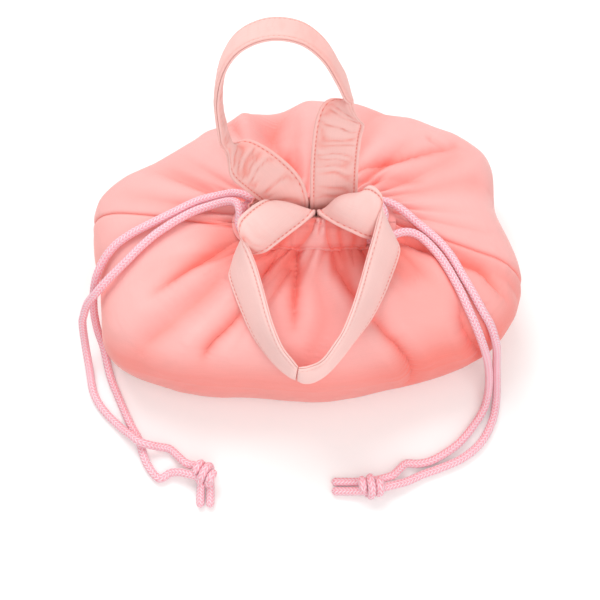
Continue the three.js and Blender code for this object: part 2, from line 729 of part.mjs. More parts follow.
function addCords() {
  addPiece(bag, "drawcord_left_bight", bightSolid(1, upperCordY, upperCordZ), cordBraid);
  addPiece(bag, "drawcord_right_bight", bightSolid(-1, lowerCordY, lowerCordZ), cordBraid);
  const strands = [
    ["left_front", -1, -1, leftFrontRoute],
    ["left_back", -1, 1, leftBackRoute],
    ["right_front", 1, -1, rightFrontRoute],
    ["right_back", 1, 1, rightBackRoute],
  ];
  strands.forEach(([name, end, side, route]) => {
    const z = end < 0 ? upperCordZ : lowerCordZ;
    addPiece(bag, `drawcord_${name}`, cordTube(strandRoute(end, side, z, route)), cordBraid);
  });
  addPiece(bag, "drawcord_left_knot", knotSolid(leftKnot), cordBraid);
  addPiece(bag, "drawcord_right_knot", knotSolid(rightKnot), cordBraid);
}

addBody();
addCasings();
addFrontHandle();
addBackRoots();
addBackHandle();
addCords();

export default bag;
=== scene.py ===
import math

import bpy
import numpy as np
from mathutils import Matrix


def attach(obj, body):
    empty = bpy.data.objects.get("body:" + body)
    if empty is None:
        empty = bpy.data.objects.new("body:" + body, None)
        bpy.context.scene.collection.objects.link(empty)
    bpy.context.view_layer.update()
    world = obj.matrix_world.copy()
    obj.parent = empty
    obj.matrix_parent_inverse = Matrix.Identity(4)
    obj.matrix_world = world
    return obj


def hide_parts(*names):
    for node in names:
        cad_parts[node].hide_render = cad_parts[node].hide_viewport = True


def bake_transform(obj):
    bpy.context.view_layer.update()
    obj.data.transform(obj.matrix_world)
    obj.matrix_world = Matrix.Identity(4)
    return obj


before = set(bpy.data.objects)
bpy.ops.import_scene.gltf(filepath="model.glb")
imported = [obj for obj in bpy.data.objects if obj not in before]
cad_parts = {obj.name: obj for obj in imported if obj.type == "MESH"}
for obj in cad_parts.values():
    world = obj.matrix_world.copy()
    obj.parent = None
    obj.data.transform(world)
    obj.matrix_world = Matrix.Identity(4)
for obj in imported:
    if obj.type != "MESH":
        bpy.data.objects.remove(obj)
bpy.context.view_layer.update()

# Camera
# The picture is taken from in front of the bag and high above it, through a short telephoto
# lens. All sizes and places below are millimetres, and MM takes them to Blender's metres.
MM = 0.001
PICTURE_SIZE = 600
CAMERA_ELEVATION = math.radians(61)
CAMERA_DISTANCE = 686
CAMERA_TARGET = np.array([-8.2, -36.5, 45.0])
LENS = 70
SENSOR = 36
camera_right = np.array([1.0, 0.0, 0.0])
camera_back = np.array([0.0, -math.cos(CAMERA_ELEVATION), math.sin(CAMERA_ELEVATION)])
camera_up = np.cross(camera_back, camera_right)
camera_place = CAMERA_TARGET + CAMERA_DISTANCE * camera_back

camera = bpy.data.objects.new("camera", bpy.data.cameras.new("camera"))
camera.data.lens = LENS
camera.data.sensor_width = SENSOR
camera.data.clip_start = 0.01
camera.location = (camera_place * MM).tolist()
camera.rotation_euler = (math.pi / 2 - CAMERA_ELEVATION, 0, 0)
bpy.context.scene.collection.objects.link(camera)
bpy.context.scene.camera = camera

# Drawcords
# Two round cords braided from pink yarn, 5 mm thick. Each passes both channels of the mouth and
# comes out with two free strands that lie over the bag and on the floor, and end in a knot.
CORD_DIAMETER = 5
CHANNEL_END = 30
STUB_END = 12
UPPER_CORD = np.array([10.45, 80.53])
LOWER_CORD = np.array([13.72, 75.5])
BRAID_PITCH = 2.2
BRAID_COLUMNS = 8
BRAID_DEPTH = 0.5
COLUMN_GROOVE = 0.35
RING_SPACING = 0.36
CORD_SIDES = 32

LEFT_BACK_ROUTE = [
    (-36.5, 11.5, 81.2), (-42.5, 14.5, 80.5), (-48, 17.1, 77.5), (-54.5, 18, 74.3),
    (-61, 17.5, 72.6), (-68, 16, 71.4), (-75, 12.9, 70.6), (-82, 9.2, 69.7), (-96.5, 2, 67.6),
    (-108, -3.7, 65), (-117, -9.5, 61.7), (-124.5, -16.5, 55), (-129.8, -24.5, 45),
    (-132.5, -32, 29), (-131.5, -40.5, 16), (-128, -49.5, 8), (-123, -67, 3.6),
    (-116, -83, 2.8), (-109, -97.5, 2.8), (-103.5, -107, 2.8), (-100.5, -115.5, 2.8),
    (-97, -123.5, 2.8), (-90, -131.5, 2.8), (-83.5, -128.4, 3.4), (-77.5, -128.7, 5.4),
    (-73.2, -130.1, 6.4),
]
LEFT_FRONT_ROUTE = [
    (-36, -11, 80.6), (-40.5, -8, 81.5), (-42.4, -2.9, 82.3), (-43, 1.8, 82.4),
    (-44, 6.1, 81.7), (-46.4, 9.3, 80), (-50, 11.2, 77.6), (-55, 12, 74.8), (-61.1, 11.4, 72.7),
    (-67, 9.9, 71.6), (-72.6, 7.5, 70.9), (-77.3, 5, 70.2), (-82.1, 2.2, 69.5),
    (-87.3, -1.3, 68.7), (-92.4, -5, 67.9), (-96.9, -9, 67), (-101.5, -13.2, 65.8),
    (-108.3, -20.3, 63.8), (-113.6, -25, 61.4), (-121, -31, 57), (-127.5, -35, 50.5),
    (-133.5, -37, 42),
    (-137, -40, 33), (-138.5, -42.3, 27), (-138.7, -48.6, 13), (-136.3, -61.3, 4.6),
    (-132.6, -77, 2.8), (-125.6, -88.6, 2.8), (-115, -99.5, 3.6), (-108, -106, 7),
    (-103, -110.4, 8.5), (-97.5, -112.3, 7.8), (-91, -112.6, 4.6), (-84.8, -113.5, 3.4),
    (-79.5, -118.4, 4.3), (-76, -122, 5.6), (-72.3, -124.3, 6.3),
]
RIGHT_BACK_ROUTE = [
    (37, 13, 76.1), (43.5, 10.8, 77.3), (49.5, 6.8, 77.6), (55, 2.5, 76.1), (60, -1.3, 73.9),
    (66, -6, 72.1), (73, -12.8, 70.6), (79.5, -22, 69.1), (84.7, -32.5, 67.6),
    (90, -42.5, 65.6), (95.6, -52.5, 61.5), (100.3, -58.3, 55.9), (103.6, -62.6, 48.2),
    (106.5, -64.8, 36), (108.5, -67, 20), (109.8, -74, 8), (109.3, -84, 3.2),
    (106, -96, 2.8), (98.5, -109.2, 2.8), (87, -119, 2.8), (74, -125, 2.8),
    (63.3, -129, 2.9), (54, -133.6, 3.9), (47.5, -136, 5.6), (42.6, -137.6, 6.4),
]
RIGHT_FRONT_ROUTE = [
    (37, -13.6, 75.9), (41.8, -12.8, 76.4), (46.3, -11, 76.5), (50.8, -9, 76), (55.6, -8.2, 74.6),
    (60.4, -9.4, 73.1), (64.7, -12.6, 71.8), (69.2, -17.6, 70.8), (74, -24.4, 69.6),
    (79.2, -34.2, 68.1), (84, -44.4, 65.9), (87.5, -52, 62.8), (91.6, -59.3, 57.6),
    (95.8, -65.8, 49.6),
    (100.2, -68.9, 36), (103.6, -71, 20), (104.6, -77.3, 8), (101.8, -87.5, 3.2),
    (94.3, -99.2, 2.8), (84.3, -110.6, 2.8), (70.8, -119.6, 2.8), (61.5, -122.4, 2.8),
    (54, -122.4, 2.9), (49.5, -126.4, 4.2), (45.6, -130.6, 5.9), (41, -132.4, 6.4),
]


def curve_through(rows, place, closed=False):
    """Smooth curve through rows, at places counted in rows from 0. Between two rows it is the
    cubic that passes both and leaves each in the direction from its neighbour before to its
    neighbour after."""
    rows = np.asarray(rows, float)
    if closed:
        padded = np.concatenate([rows[-1:], rows, rows[:2]])
        place = np.mod(place, len(rows))
    else:
        padded = np.concatenate([2 * rows[:1] - rows[1:2], rows, 2 * rows[-1:] - rows[-2:-1]])
    cell = np.clip(np.floor(place).astype(int), 0, len(padded) - 4)
    part = (place - cell)[..., None]
    a, b, c, d = (padded[cell + k] for k in range(4))
    bend = 2 * a - 5 * b + 4 * c - d + part * (3 * (b - c) + d - a)
    return b + part / 2 * (c - a + part * bend)


def distance_run(points):
    """Distance run along points up to each of them: the sum of the steps between them."""
    steps = np.linalg.norm(np.diff(points, axis=0), axis=-1)
    return np.concatenate([np.zeros_like(steps[:1]), np.cumsum(steps, axis=0)])


def read_along(table, run, places):
    """A table whose rows stand at distances run, read off between them at other places."""
    return np.stack([np.interp(places, run, column) for column in table.T], axis=-1)


def even_route(rows):
    """The smooth curve through rows again, as points at even steps of its own length."""
    fine = curve_through(rows, np.linspace(0, len(rows) - 1, (len(rows) - 1) * 24 + 1))
    run = distance_run(fine)
    even = np.linspace(0, run[-1], max(int(round(run[-1] / RING_SPACING)), 2) + 1)
    return read_along(fine, run, even)


def unit(vectors):
    """Each vector divided by its length."""
    return vectors / np.maximum(np.linalg.norm(vectors, axis=-1, keepdims=True), 1e-12)


def dots(first, second):
    """The dot product of each row of one table with the same row of another."""
    return np.einsum("ij,ij->i", first, second)


def steady_frames(path):
    """Two crossing directions square to the path that don't twist about it: one is a fixed
    direction less its part along the path, turned back by the twist that it gathers."""
    along = unit(np.gradient(path, axis=0))
    leaning = np.array([0.31, 0.53, 0.79])
    first = unit(leaning - (along @ leaning)[:, None] * along)
    second = np.cross(along, first)
    steps = dots(np.diff(first, axis=0), (second[1:] + second[:-1]) / 2)
    twist = -np.concatenate([[0], np.cumsum(steps)])[:, None]
    return np.cos(twist) * first + np.sin(twist) * second, np.cos(twist) * second - np.sin(twist) * first


def grid_faces(rows, columns, closed=False):
    """Faces of a grid of points numbered row by row. A closed row runs on to its first point."""
    row = np.arange(rows - 1)[:, None] * columns
    column = np.arange(columns if closed else columns - 1)
    after = (column + 1) % columns
    corners = [row + column, row + after, row + columns + after, row + columns + column]
    return np.stack(corners, axis=-1).reshape(-1, 4)


def capped_grid(grid):
    """Faces of a tube of closed rings, with a cap over each end."""
    rings, count = grid.shape[:2]
    last = (rings - 1) * count
    caps = [list(range(count))[::-1], [last + k for k in range(count)]]
    return grid_faces(rings, count, closed=True).tolist() + caps


def joined(parts):
    """Several sets of points and faces as one, the later ones' point numbers moved up."""
    starts = np.cumsum([0] + [len(points) for points, _ in parts[:-1]])
    faces = [[start + n for n in face] for start, (_, rows) in zip(starts, parts) for face in rows]
    return np.concatenate([points for points, _ in parts]), faces


def make_piece(name, points, faces, cloth, replaced=(), values=None, body="bag", inside=None):
    """A smooth mesh in one piece, from points in millimetres and rows of point numbers, in a cloth, which
    is a material and a slot name that is not used. values are numbers that the material reads at each
    point, or rows of three. The faces are turned round if the volume between them and a point inside, or
    their middle, comes out negative."""
    points = points.reshape(-1, 3)
    mesh = bpy.data.meshes.new(name)
    mesh.from_pydata((points * MM).tolist(), [], [list(f) for f in faces])
    mesh.calc_loop_triangles()
    corners = np.empty(3 * len(mesh.loop_triangles), np.int32)
    mesh.loop_triangles.foreach_get("vertices", corners)
    corner = (points - (points.mean(axis=0) if inside is None else inside))[corners.reshape(-1, 3)]
    if np.einsum("ij,ij->", corner[:, 0], np.cross(corner[:, 1], corner[:, 2])) < 0:
        mesh.flip_normals()
    for key, numbers in (values or {}).items():
        numbers = np.asarray(numbers, np.float32).ravel()
        form, field = ("FLOAT", "value") if len(numbers) == len(points) else ("FLOAT_VECTOR", "vector")
        mesh.attributes.new(key, form, "POINT").data.foreach_set(field, numbers)
    mesh.polygons.foreach_set("use_smooth", np.ones(len(mesh.polygons), bool))
    piece = bpy.data.objects.new(name, mesh)
    bpy.context.scene.collection.objects.link(piece)
    material, slot = cloth
    mesh.materials.append(material)
    if body:
        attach(piece, body)
    if replaced:
        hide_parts(*replaced)
    return piece


def braided_tube(path):
    """Points, faces and relief of a braided cord along a path. Round the cord, columns of yarn
    lie side by side; in each, short ovals slant one way and in the next the other way, so that
    they meet in chevrons. The surface stands off by the root of the oval's half wave, lowered a
    little between columns. Both ends close in a small dome."""
    radius = CORD_DIAMETER / 2
    first, second = steady_frames(path)
    run = distance_run(path)
    turn = np.arange(CORD_SIDES) / CORD_SIDES
    column = turn * BRAID_COLUMNS
    inside = np.mod(column, 1) - 0.5
    slant = np.where(np.floor(column) % 2 == 0, 1, -1) * inside
    oval = np.abs(np.cos(math.pi * (run[:, None] / BRAID_PITCH + slant)))
    relief = np.sqrt(oval) * (1 - COLUMN_GROOVE * (1 - np.sqrt(np.abs(np.cos(math.pi * inside)))))
    from_end = np.clip(np.minimum(run, run[-1] - run) / radius, 0, 1)
    dome = np.sqrt(np.clip(1 - (1 - from_end) ** 2, 0.02, 1))
    stand = (radius - BRAID_DEPTH + BRAID_DEPTH * relief) * dome[:, None]
    angle = 2 * math.pi * turn[:, None]
    out = np.cos(angle) * first[:, None] + np.sin(angle) * second[:, None]
    points = path[:, None] + stand[..., None] * out
    return points.reshape(-1, 3), [face[::-1] for face in capped_grid(points)], relief.ravel()


def set_inputs(tree, node, inputs):
    """Sets a node's inputs, each to a value or to another node's output."""
    for key, value in inputs.items():
        if isinstance(value, bpy.types.NodeSocket):
            tree.links.new(value, node.inputs[key])
        else:
            node.inputs[key].default_value = value


def add_node(tree, kind, output, inputs=None, **settings):
    """Adds a shader node with its settings and its inputs, and gives one of its outputs."""
    node = tree.nodes.new("ShaderNode" + kind)
    for key, value in settings.items():
        setattr(node, key, value)
    set_inputs(tree, node, inputs or {})
    return node.outputs[output]


def noise(tree, scale, detail, distortion=0, place=None):
    """A noise texture's values, on Object coordinates or at a place of its own."""
    if place is None:
        place = add_node(tree, "TexCoord", "Object")
    return add_node(tree, "TexNoise", "Fac", {
        "Vector": place, "Scale": scale, "Detail": detail, "Distortion": distortion})


def mapped(tree, value, low, high, first=0, last=1):
    """A value mapped so that first becomes low and last becomes high."""
    return add_node(tree, "MapRange", "Result", {
        "Value": value, "From Min": first, "From Max": last, "To Min": low, "To Max": high})


def scaled(tree, colour, factor):
    """A colour times a factor."""
    return add_node(tree, "VectorMath", "Vector", {0: colour, "Scale": factor}, operation="SCALE")


def bump(tree, height, strength, distance, **over):
    """Normals of a relief with a height, over other normals if they are given."""
    return add_node(tree, "Bump", "Normal", {
        "Height": height, "Strength": strength, "Distance": distance, **over})


def colour_ramp(tree, value, stops):
    """Colours at places of a value from the first stop to the last, mixed between them."""
    colour = add_node(tree, "ValToRGB", "Color", {"Fac": value})
    elements = colour.node.color_ramp.elements
    for place, _ in stops[1:-1]:
        elements.new(place)
    for element, (place, shade) in zip(elements, stops):
        element.position = place
        element.color = (*shade, 1)
    return colour


def cloth_shader(name, roughness, sheen, sheen_roughness, tint, specular=0.3):
    """A new material with a Principled shader for cloth, its own values on its sockets."""
    material = bpy.data.materials.new(name)
    material.use_nodes = True
    tree = material.node_tree
    shader = tree.nodes["Principled BSDF"]
    set_inputs(tree, shader, {
        "Roughness": roughness, "Specular IOR Level": specular, "Sheen Weight": sheen,
        "Sheen Roughness": sheen_roughness, "Sheen Tint": (*tint, 1)})
    return material, tree, shader


def cord_material():
    """Pink yarn with painted light on its braid: a pale painted highlight where the braid's ovals stand out
    and coral painted shade in the crevices between them, with fine fibres along the cord and a slight
    sheen."""
    material, tree, shader = cloth_shader("braided_cord", 0.5, 0.25, 0.4, (1, 0.86, 0.9), 0.45)
    relief = add_node(tree, "Attribute", "Fac", attribute_name="relief")
    fibres = noise(tree, 2600, 2)
    colour = colour_ramp(tree, relief, [
        (0.25, (0.97, 0.27, 0.32)), (0.6, (0.99, 0.50, 0.58)), (0.9, (0.99, 0.74, 0.80))])
    set_inputs(tree, shader, {
        "Base Color": scaled(tree, colour, mapped(tree, fibres, 0.9, 1.06)),
        "Normal": bump(tree, fibres, 0.25, 0.0002)})
    return material


braided_cord = cord_material(), "cord_braid"


def cord_piece(name, paths, replaced, body):
    """A piece of cord that rides on a body: braided tubes along its paths, joined."""
    tubes = [braided_tube(path) for path in paths]
    relief = np.concatenate([tube[2] for tube in tubes])
    return make_piece(
        name, *joined([tube[:2] for tube in tubes]), braided_cord, [replaced], {"relief": relief}, body)


def free_strand(end, across, place, route, into_knot):
    """A strand's whole route: from its stub in the channel, straight to the channel's end, on
    along its own points and into its knot."""
    inside = [
        (end * x, across * place[0], place[1])
        for x in (STUB_END, (STUB_END + CHANNEL_END) / 2, CHANNEL_END)]
    return even_route(inside + route + into_knot)


LEFT_INTO_KNOT = [[(-68.5, -131.6, 7.4), (-65, -134.5, 7)], [(-65.5, -126.4, 7.8), (-60.2, -131.5, 7)]]
RIGHT_INTO_KNOT = [[(36, -134.2, 7.4), (31, -135.2, 7.2)], [(37.5, -139.3, 7.4), (32, -140.6, 7.2)]]
strand_paths = {
    "left_front": free_strand(-1, -1, UPPER_CORD, LEFT_FRONT_ROUTE, LEFT_INTO_KNOT[1]),
    "left_back": free_strand(-1, 1, UPPER_CORD, LEFT_BACK_ROUTE, LEFT_INTO_KNOT[0]),
    "right_front": free_strand(1, -1, LOWER_CORD, RIGHT_FRONT_ROUTE, RIGHT_INTO_KNOT[0]),
    "right_back": free_strand(1, 1, LOWER_CORD, RIGHT_BACK_ROUTE, RIGHT_INTO_KNOT[1]),
}

# Knots
# Both ends of a cord are tied together in one knot: two turns of cord round the pair, and two
# short tails past them, cut straight. A knot's values are its middle, the direction towards
# its strands, and its tails.
KNOT_TURN_RADIUS = 4.9
KNOT_HEIGHT = 7.6
KNOT_PITCH = 5.0
KNOTS = {
    "left": [(-63, -130.5), (-0.95, 0.31), [
        [LEFT_INTO_KNOT[0][1], (-65.4, -141, 3.6), (-65.4, -149, 2.7)],
        [LEFT_INTO_KNOT[1][1], (-59.8, -140.5, 3.6), (-59.8, -149, 2.7)]]],
    "right": [(32.5, -138), (0.95, 0.3), [
        [RIGHT_INTO_KNOT[0][1], (22, -134, 3.8), (10, -133.6, 2.7)],
        [RIGHT_INTO_KNOT[1][1], (22, -139.6, 3.8), (10, -139.2, 2.7)]]],
}


def knot_wrap(centre, towards):
    """Two turns of a coil round the strands, whose ends dive into it: the radius shrinks at both
    ends while the coil moves on by a cord's thickness each turn."""
    turn = np.linspace(-1.12, 1.12, 40)[:, None]
    up = np.array([0, 0, 1.0])
    ahead = unit(np.array([*towards, 0.0]))
    angle = 2 * math.pi * turn
    radius = KNOT_TURN_RADIUS * (1 - 0.55 * np.clip((np.abs(turn) - 0.9) / 0.22, 0, 1))
    ring = np.cos(angle) * up + np.sin(angle) * np.cross(up, ahead)
    return np.array([*centre, KNOT_HEIGHT]) + radius * ring + turn * KNOT_PITCH * ahead


for end, (centre, towards, tails) in KNOTS.items():
    paths = [even_route(route) for route in (*tails, knot_wrap(centre, towards))]
    cord_piece(
        f"cord_knot_{end}", paths, f"drawcord_{end}_knot", f"drawcord_{end}")

for name, path in strand_paths.items():
    end = name.split("_")[0]
    piece = cord_piece(f"cord_{name}", [path], f"drawcord_{name}", f"drawcord_{end}")

# Each cord's bight runs through both channels and round the mouth's far end
for name, end, (reach, height) in [("left", 1, UPPER_CORD), ("right", -1, LOWER_CORD)]:
    angle = np.linspace(-math.pi / 2, math.pi / 2, 19)
    bend = np.stack([
        end * (CHANNEL_END + reach * np.cos(angle)), reach * np.sin(angle), np.full(19, height)], axis=1)
    start, finish = bend[0].copy(), bend[-1].copy()
    start[0] = finish[0] = -end * (STUB_END - 0.5)
    route = [*np.linspace(start, bend[0], 5)[:-1], *bend, *np.linspace(bend[-1], finish, 5)[1:]]
    cord_piece(f"cord_{name}_bight", [even_route(route)], f"drawcord_{name}_bight", "bag")

# Body of the bag
# A front and a back panel of padded pink cloth, sewn together at the sides and to a base. The
# cloth is wide at the body and gathered to the short mouth, which throws it into deep folds.
BODY_HALF_LENGTH = 130
BODY_HALF_DEPTH = 97
BODY_CENTRE = np.array([-5.0, 8.0])
BODY_OUTLINE_SHARE = np.array([
    (-1.05, 0.2), (-0.99, -0.22), (-0.93, -0.66), (-0.66, -0.84), (-0.3, -0.91), (0.1, -0.92),
    (0.45, -0.81), (0.82, -0.61), (0.96, -0.22), (0.88, 0.24), (0.83, 0.75), (0.43, 1.06),
    (0.08, 1.15), (-0.38, 1.0), (-0.72, 0.69), (-0.98, 0.46),
])
RIGHT_SEAM_SHARE = 0.485
BASE_SHARE = np.array([0.86, 0.82])
EQUATOR_HEIGHT = 33
NECK_HEIGHT = 71.5
NECK_HALF_RUN = 30
NECK_HALF_DEPTH = 17.42
MOUTH_END_SHARE = 4 / 18
UPPER_WALL_SHARE = [
    (0, 0), (0.02, 0.26), (0.09, 0.506), (0.22, 0.688), (0.42, 0.792), (0.65, 0.87),
    (0.85, 0.935), (1, 1),
]
LOWER_WALL_SHARE = [(0, 1), (0.05, 0.667), (0.2, 0.333), (0.5, 0.106), (0.85, 0.01), (1, 0)]
PANEL_COLUMNS = 430
PANEL_ROWS = 200
SIDES = [("front", 0), ("back", PANEL_COLUMNS - 1)]

outline_fine = curve_through(
    BODY_OUTLINE_SHARE * [BODY_HALF_LENGTH, BODY_HALF_DEPTH],
    np.linspace(0, len(BODY_OUTLINE_SHARE), 4001), closed=True)
outline_run = distance_run(outline_fine)
outline_run /= outline_run[-1]


def widest_point(turn):
    """The widest outline at a turn: turns 0 to 1 run from the left seam through the front to the
    right seam, and 1 to 2 back through the rear, each at an even pace along the outline."""
    turn = np.mod(turn, 2)
    share = np.where(
        turn < 1, turn * RIGHT_SEAM_SHARE, RIGHT_SEAM_SHARE + (turn - 1) * (1 - RIGHT_SEAM_SHARE))
    return read_along(outline_fine, outline_run, share)


def mouth_point(turn, radius):
    """The mouth's outline at a turn: two straight runs along X joined by half circles."""
    turn = np.mod(turn, 2)
    side = np.where(turn > 1, 1.0, -1.0)
    along = np.where(turn > 1, 2 - turn, turn)
    left = along < MOUTH_END_SHARE
    ends = left | (along > 1 - MOUTH_END_SHARE)
    angle = np.where(left, along, 1 - along) / MOUTH_END_SHARE * math.pi / 2
    run = NECK_HALF_RUN * (2 * (along - MOUTH_END_SHARE) / (1 - 2 * MOUTH_END_SHARE) - 1)
    round_x = np.where(left, -1.0, 1.0) * (NECK_HALF_RUN + radius * np.cos(angle))
    y = side * radius * np.where(ends, np.sin(angle), 1.0)
    return np.stack([np.where(ends, round_x, run), y], axis=-1)


def raised(plan, height):
    """Points of a plan at one height, or each at its own."""
    height = np.broadcast_to(height, plan.shape[:-1])
    return np.concatenate([plan, height[..., None]], axis=-1)


def wall_point(turn, level):
    """The bag's smooth wall at a turn and a level, which is -1 at the base, 0 at the widest
    outline and 1 at the neck: the outlines are mixed by share tables that also give the
    height."""
    turn, level = np.broadcast_arrays(turn, level)
    upper = curve_through(UPPER_WALL_SHARE, np.clip(level, 0, 1) * (len(UPPER_WALL_SHARE) - 1))
    lower = curve_through(LOWER_WALL_SHARE, np.clip(-level, 0, 1) * (len(LOWER_WALL_SHARE) - 1))
    widest = widest_point(turn)
    base = BODY_CENTRE + (widest - BODY_CENTRE) * BASE_SHARE
    neck = mouth_point(turn, NECK_HALF_DEPTH)
    plan = np.where(
        (level >= 0)[..., None], widest + (neck - widest) * upper[..., :1],
        widest + (base - widest) * lower[..., :1])
    return raised(plan, np.where(
        level >= 0, EQUATOR_HEIGHT + (NECK_HEIGHT - EQUATOR_HEIGHT) * upper[..., 1],
        EQUATOR_HEIGHT * lower[..., 1]))


def value_noise(x, y, seed):
    """Smooth noise between 0 and 1: random numbers on a square lattice of step 1, blended
    between its corners by eased weights."""
    lattice = np.random.default_rng(seed).random((256, 256))
    cell_x, cell_y = np.floor(x).astype(int), np.floor(y).astype(int)
    part_x, part_y = x - cell_x, y - cell_y
    ease_x, ease_y = part_x ** 2 * (3 - 2 * part_x), part_y ** 2 * (3 - 2 * part_y)
    corner = [[lattice[(cell_x + i) % 256, (cell_y + j) % 256] for j in (0, 1)] for i in (0, 1)]
    low = corner[0][0] + (corner[1][0] - corner[0][0]) * ease_x
    high = corner[0][1] + (corner[1][1] - corner[0][1]) * ease_x
    return low + (high - low) * ease_y


turn_grid = np.linspace(0, 2, 2 * PANEL_COLUMNS - 1)[:, None]
level_grid = np.linspace(-1, 1, PANEL_ROWS)[None, :]
smooth_wall = wall_point(turn_grid, level_grid)
smooth_normal = unit(np.cross(np.gradient(smooth_wall, axis=0), np.gradient(smooth_wall, axis=1)))
wall_count = smooth_wall.shape[:2]
flat_wall, flat_normal = smooth_wall.reshape(-1, 3), smooth_normal.reshape(-1, 3)
turn_flat = np.broadcast_to(turn_grid, wall_count).ravel()
level_flat = np.broadcast_to(level_grid, wall_count).ravel()

# Folds that show in the photograph: pixels along the bottom of the fold with its depth there as
# a share, then the fold's half width, its depth, and 1 for a sharp crease or 2 for a round one.
FOLDS = [
    ([(237, 239, 0.5), (216, 251, 0.8), (196, 263, 1), (175, 277, 0.9), (153, 293, 0.3)], 6, 5.5, 1),
    ([(222, 268, 0.4), (212, 283, 0.9), (197, 297, 1), (178, 313, 0.9), (163, 327, 1),
      (147, 342, 0.8), (135, 356, 0.3)], 9, 6.5, 2),
    ([(246, 306, 0.4), (236, 317, 0.9), (222, 331, 1), (208, 346, 1), (202, 361, 0.4)], 6, 5, 1),
    ([(246, 328, 0.6), (236, 347, 0.3)], 4, 2, 1.5),
    ([(276, 256, 0.8), (268, 268, 1), (260, 280, 0.5)], 5, 4.5, 1),
    ([(290, 268, 1), (280, 284, 1), (268, 302, 0.4)], 5, 4.5, 1.3),
    ([(297, 249, 1), (296, 275, 1), (294.5, 300, 0.9), (293.5, 327, 0.4)], 5.5, 6, 1),
    ([(331, 244, 0.9), (334, 258, 1), (337, 267, 1), (347, 283, 1), (357, 297, 0.9),
      (372, 316, 0.8), (386, 333, 0.9), (401, 350, 1), (412, 369, 0.8), (411, 381, 0.3)], 5, 5.5, 1),
    ([(317, 276, 0.5), (320, 295, 0.9), (325, 318, 0.8), (316, 345, 0.6), (309, 364, 0.3)], 8, 3.5, 2),
    ([(341, 246, 1), (345, 260, 0.5)], 2.5, 2, 1.3),
    ([(351, 248, 1), (354, 266, 0.5)], 2.5, 2, 1.3),
    ([(362, 248, 1), (366, 262, 0.4)], 2.5, 1.8, 1.3),
    ([(399, 241, 0.8), (412, 244, 1), (424, 247, 0.8)], 5, 5, 1),
    ([(424, 247, 0.6), (452, 257, 0.8), (466, 262, 1), (482, 268, 1), (497, 284, 0.8),
      (508, 300, 0.3)], 6.5, 6, 1.2),
    ([(396, 268, 0.6), (408, 273, 1), (422, 275, 0.5)], 7, 4, 2),
    ([(461, 308, 0.5), (464, 322, 0.9), (469, 336, 1), (481, 354, 0.6)], 5, 4.5, 1.2),
    ([(500, 272, 0.5), (512, 283, 0.7), (519, 296, 0.6)], 6, 3.5, 1.5),
    ([(358, 171, 0.9), (380, 163, 1), (404, 157, 1), (430, 150, 0.8), (457, 144, 0.5)], 6, 4.5, 1),
    ([(372, 183, 1), (384, 180, 0.7), (397, 178, 0.5), (420, 177, 0.3)], 5, 3.5, 1.2),
    ([(430, 138, 0.8), (443, 144, 0.5)], 4, 2.5, 1.3),
    ([(287, 158, 1), (293, 166, 1), (300, 176, 0.6)], 5, 4.5, 1.2),
    ([(231, 121, 0.8), (237, 130, 1), (242, 138, 0.6)], 5, 3.5, 1.3),
    ([(278, 104, 1), (277, 112, 1), (274, 124, 0.8), (264, 146, 0.3)], 10, 9, 2),
    ([(221, 118, 1), (223, 126, 0.8), (229, 138, 0.3)], 6, 4, 1.5),
]


def on_wall(pixels):
    """Where pixels of the photograph fall on the smooth wall: of its points that face the
    camera, the one nearest to the pixel's ray."""
    across, down = (pixels - PICTURE_SIZE / 2).T[..., None]
    rays = unit(across * camera_right - down * camera_up - PICTURE_SIZE * LENS / SENSOR * camera_back)
    away = flat_wall - camera_place
    facing = dots(flat_normal, away) < 0
    away = away[facing]
    off = dots(away, away)[:, None] - (away @ rays.T) ** 2
    return flat_wall[facing][np.argmin(off, axis=0)]


def nearest_on_route(points, route):
    """For each point, its distance to the nearest of a route's points, and which one that is."""
    off = dots(points, points)[:, None] - 2 * points @ route.T + dots(route, route)
    nearest = np.argmin(off, axis=1)
    return np.sqrt(np.maximum(off[np.arange(len(points)), nearest], 0)), nearest


def eased(value, first, last):
    """0 up to first, 1 from last on, and an eased cubic between them."""
    share = np.clip((value - first) / (last - first), 0, 1)
    return share * share * (3 - 2 * share)


def hump(value, middle, width):
    """1 at the middle, falling to both sides as a bell curve."""
    return np.exp(-((value - middle) / width) ** 2)


# Photographed folds: a valley that falls off with distance from its bottom line, between two low lips, with
# painted shade along its bottom, weaker on round folds
sink = np.zeros(len(flat_wall))
painted_shade = np.zeros(len(flat_wall))
for rows, half_width, depth, power in FOLDS:
    fine = curve_through(rows, np.linspace(0, len(rows) - 1, 12 * (len(rows) - 1) + 1))
    distance, nearest = nearest_on_route(flat_wall, on_wall(fine[:, :2]))
    share = np.clip(fine[nearest, 2], 0, 1)
    valley = np.exp(-(distance / half_width) ** power * (1.6 if power < 1.5 else 1))
    sink += depth * share * (valley - 0.28 * hump(distance, 1.9 * half_width, half_width))
    strength = min(depth / 6, 1) * (0.6 if power == 2 else 1)
    painted_shade += share * np.exp(-(distance / (0.6 * half_width)) ** 1.5) * strength
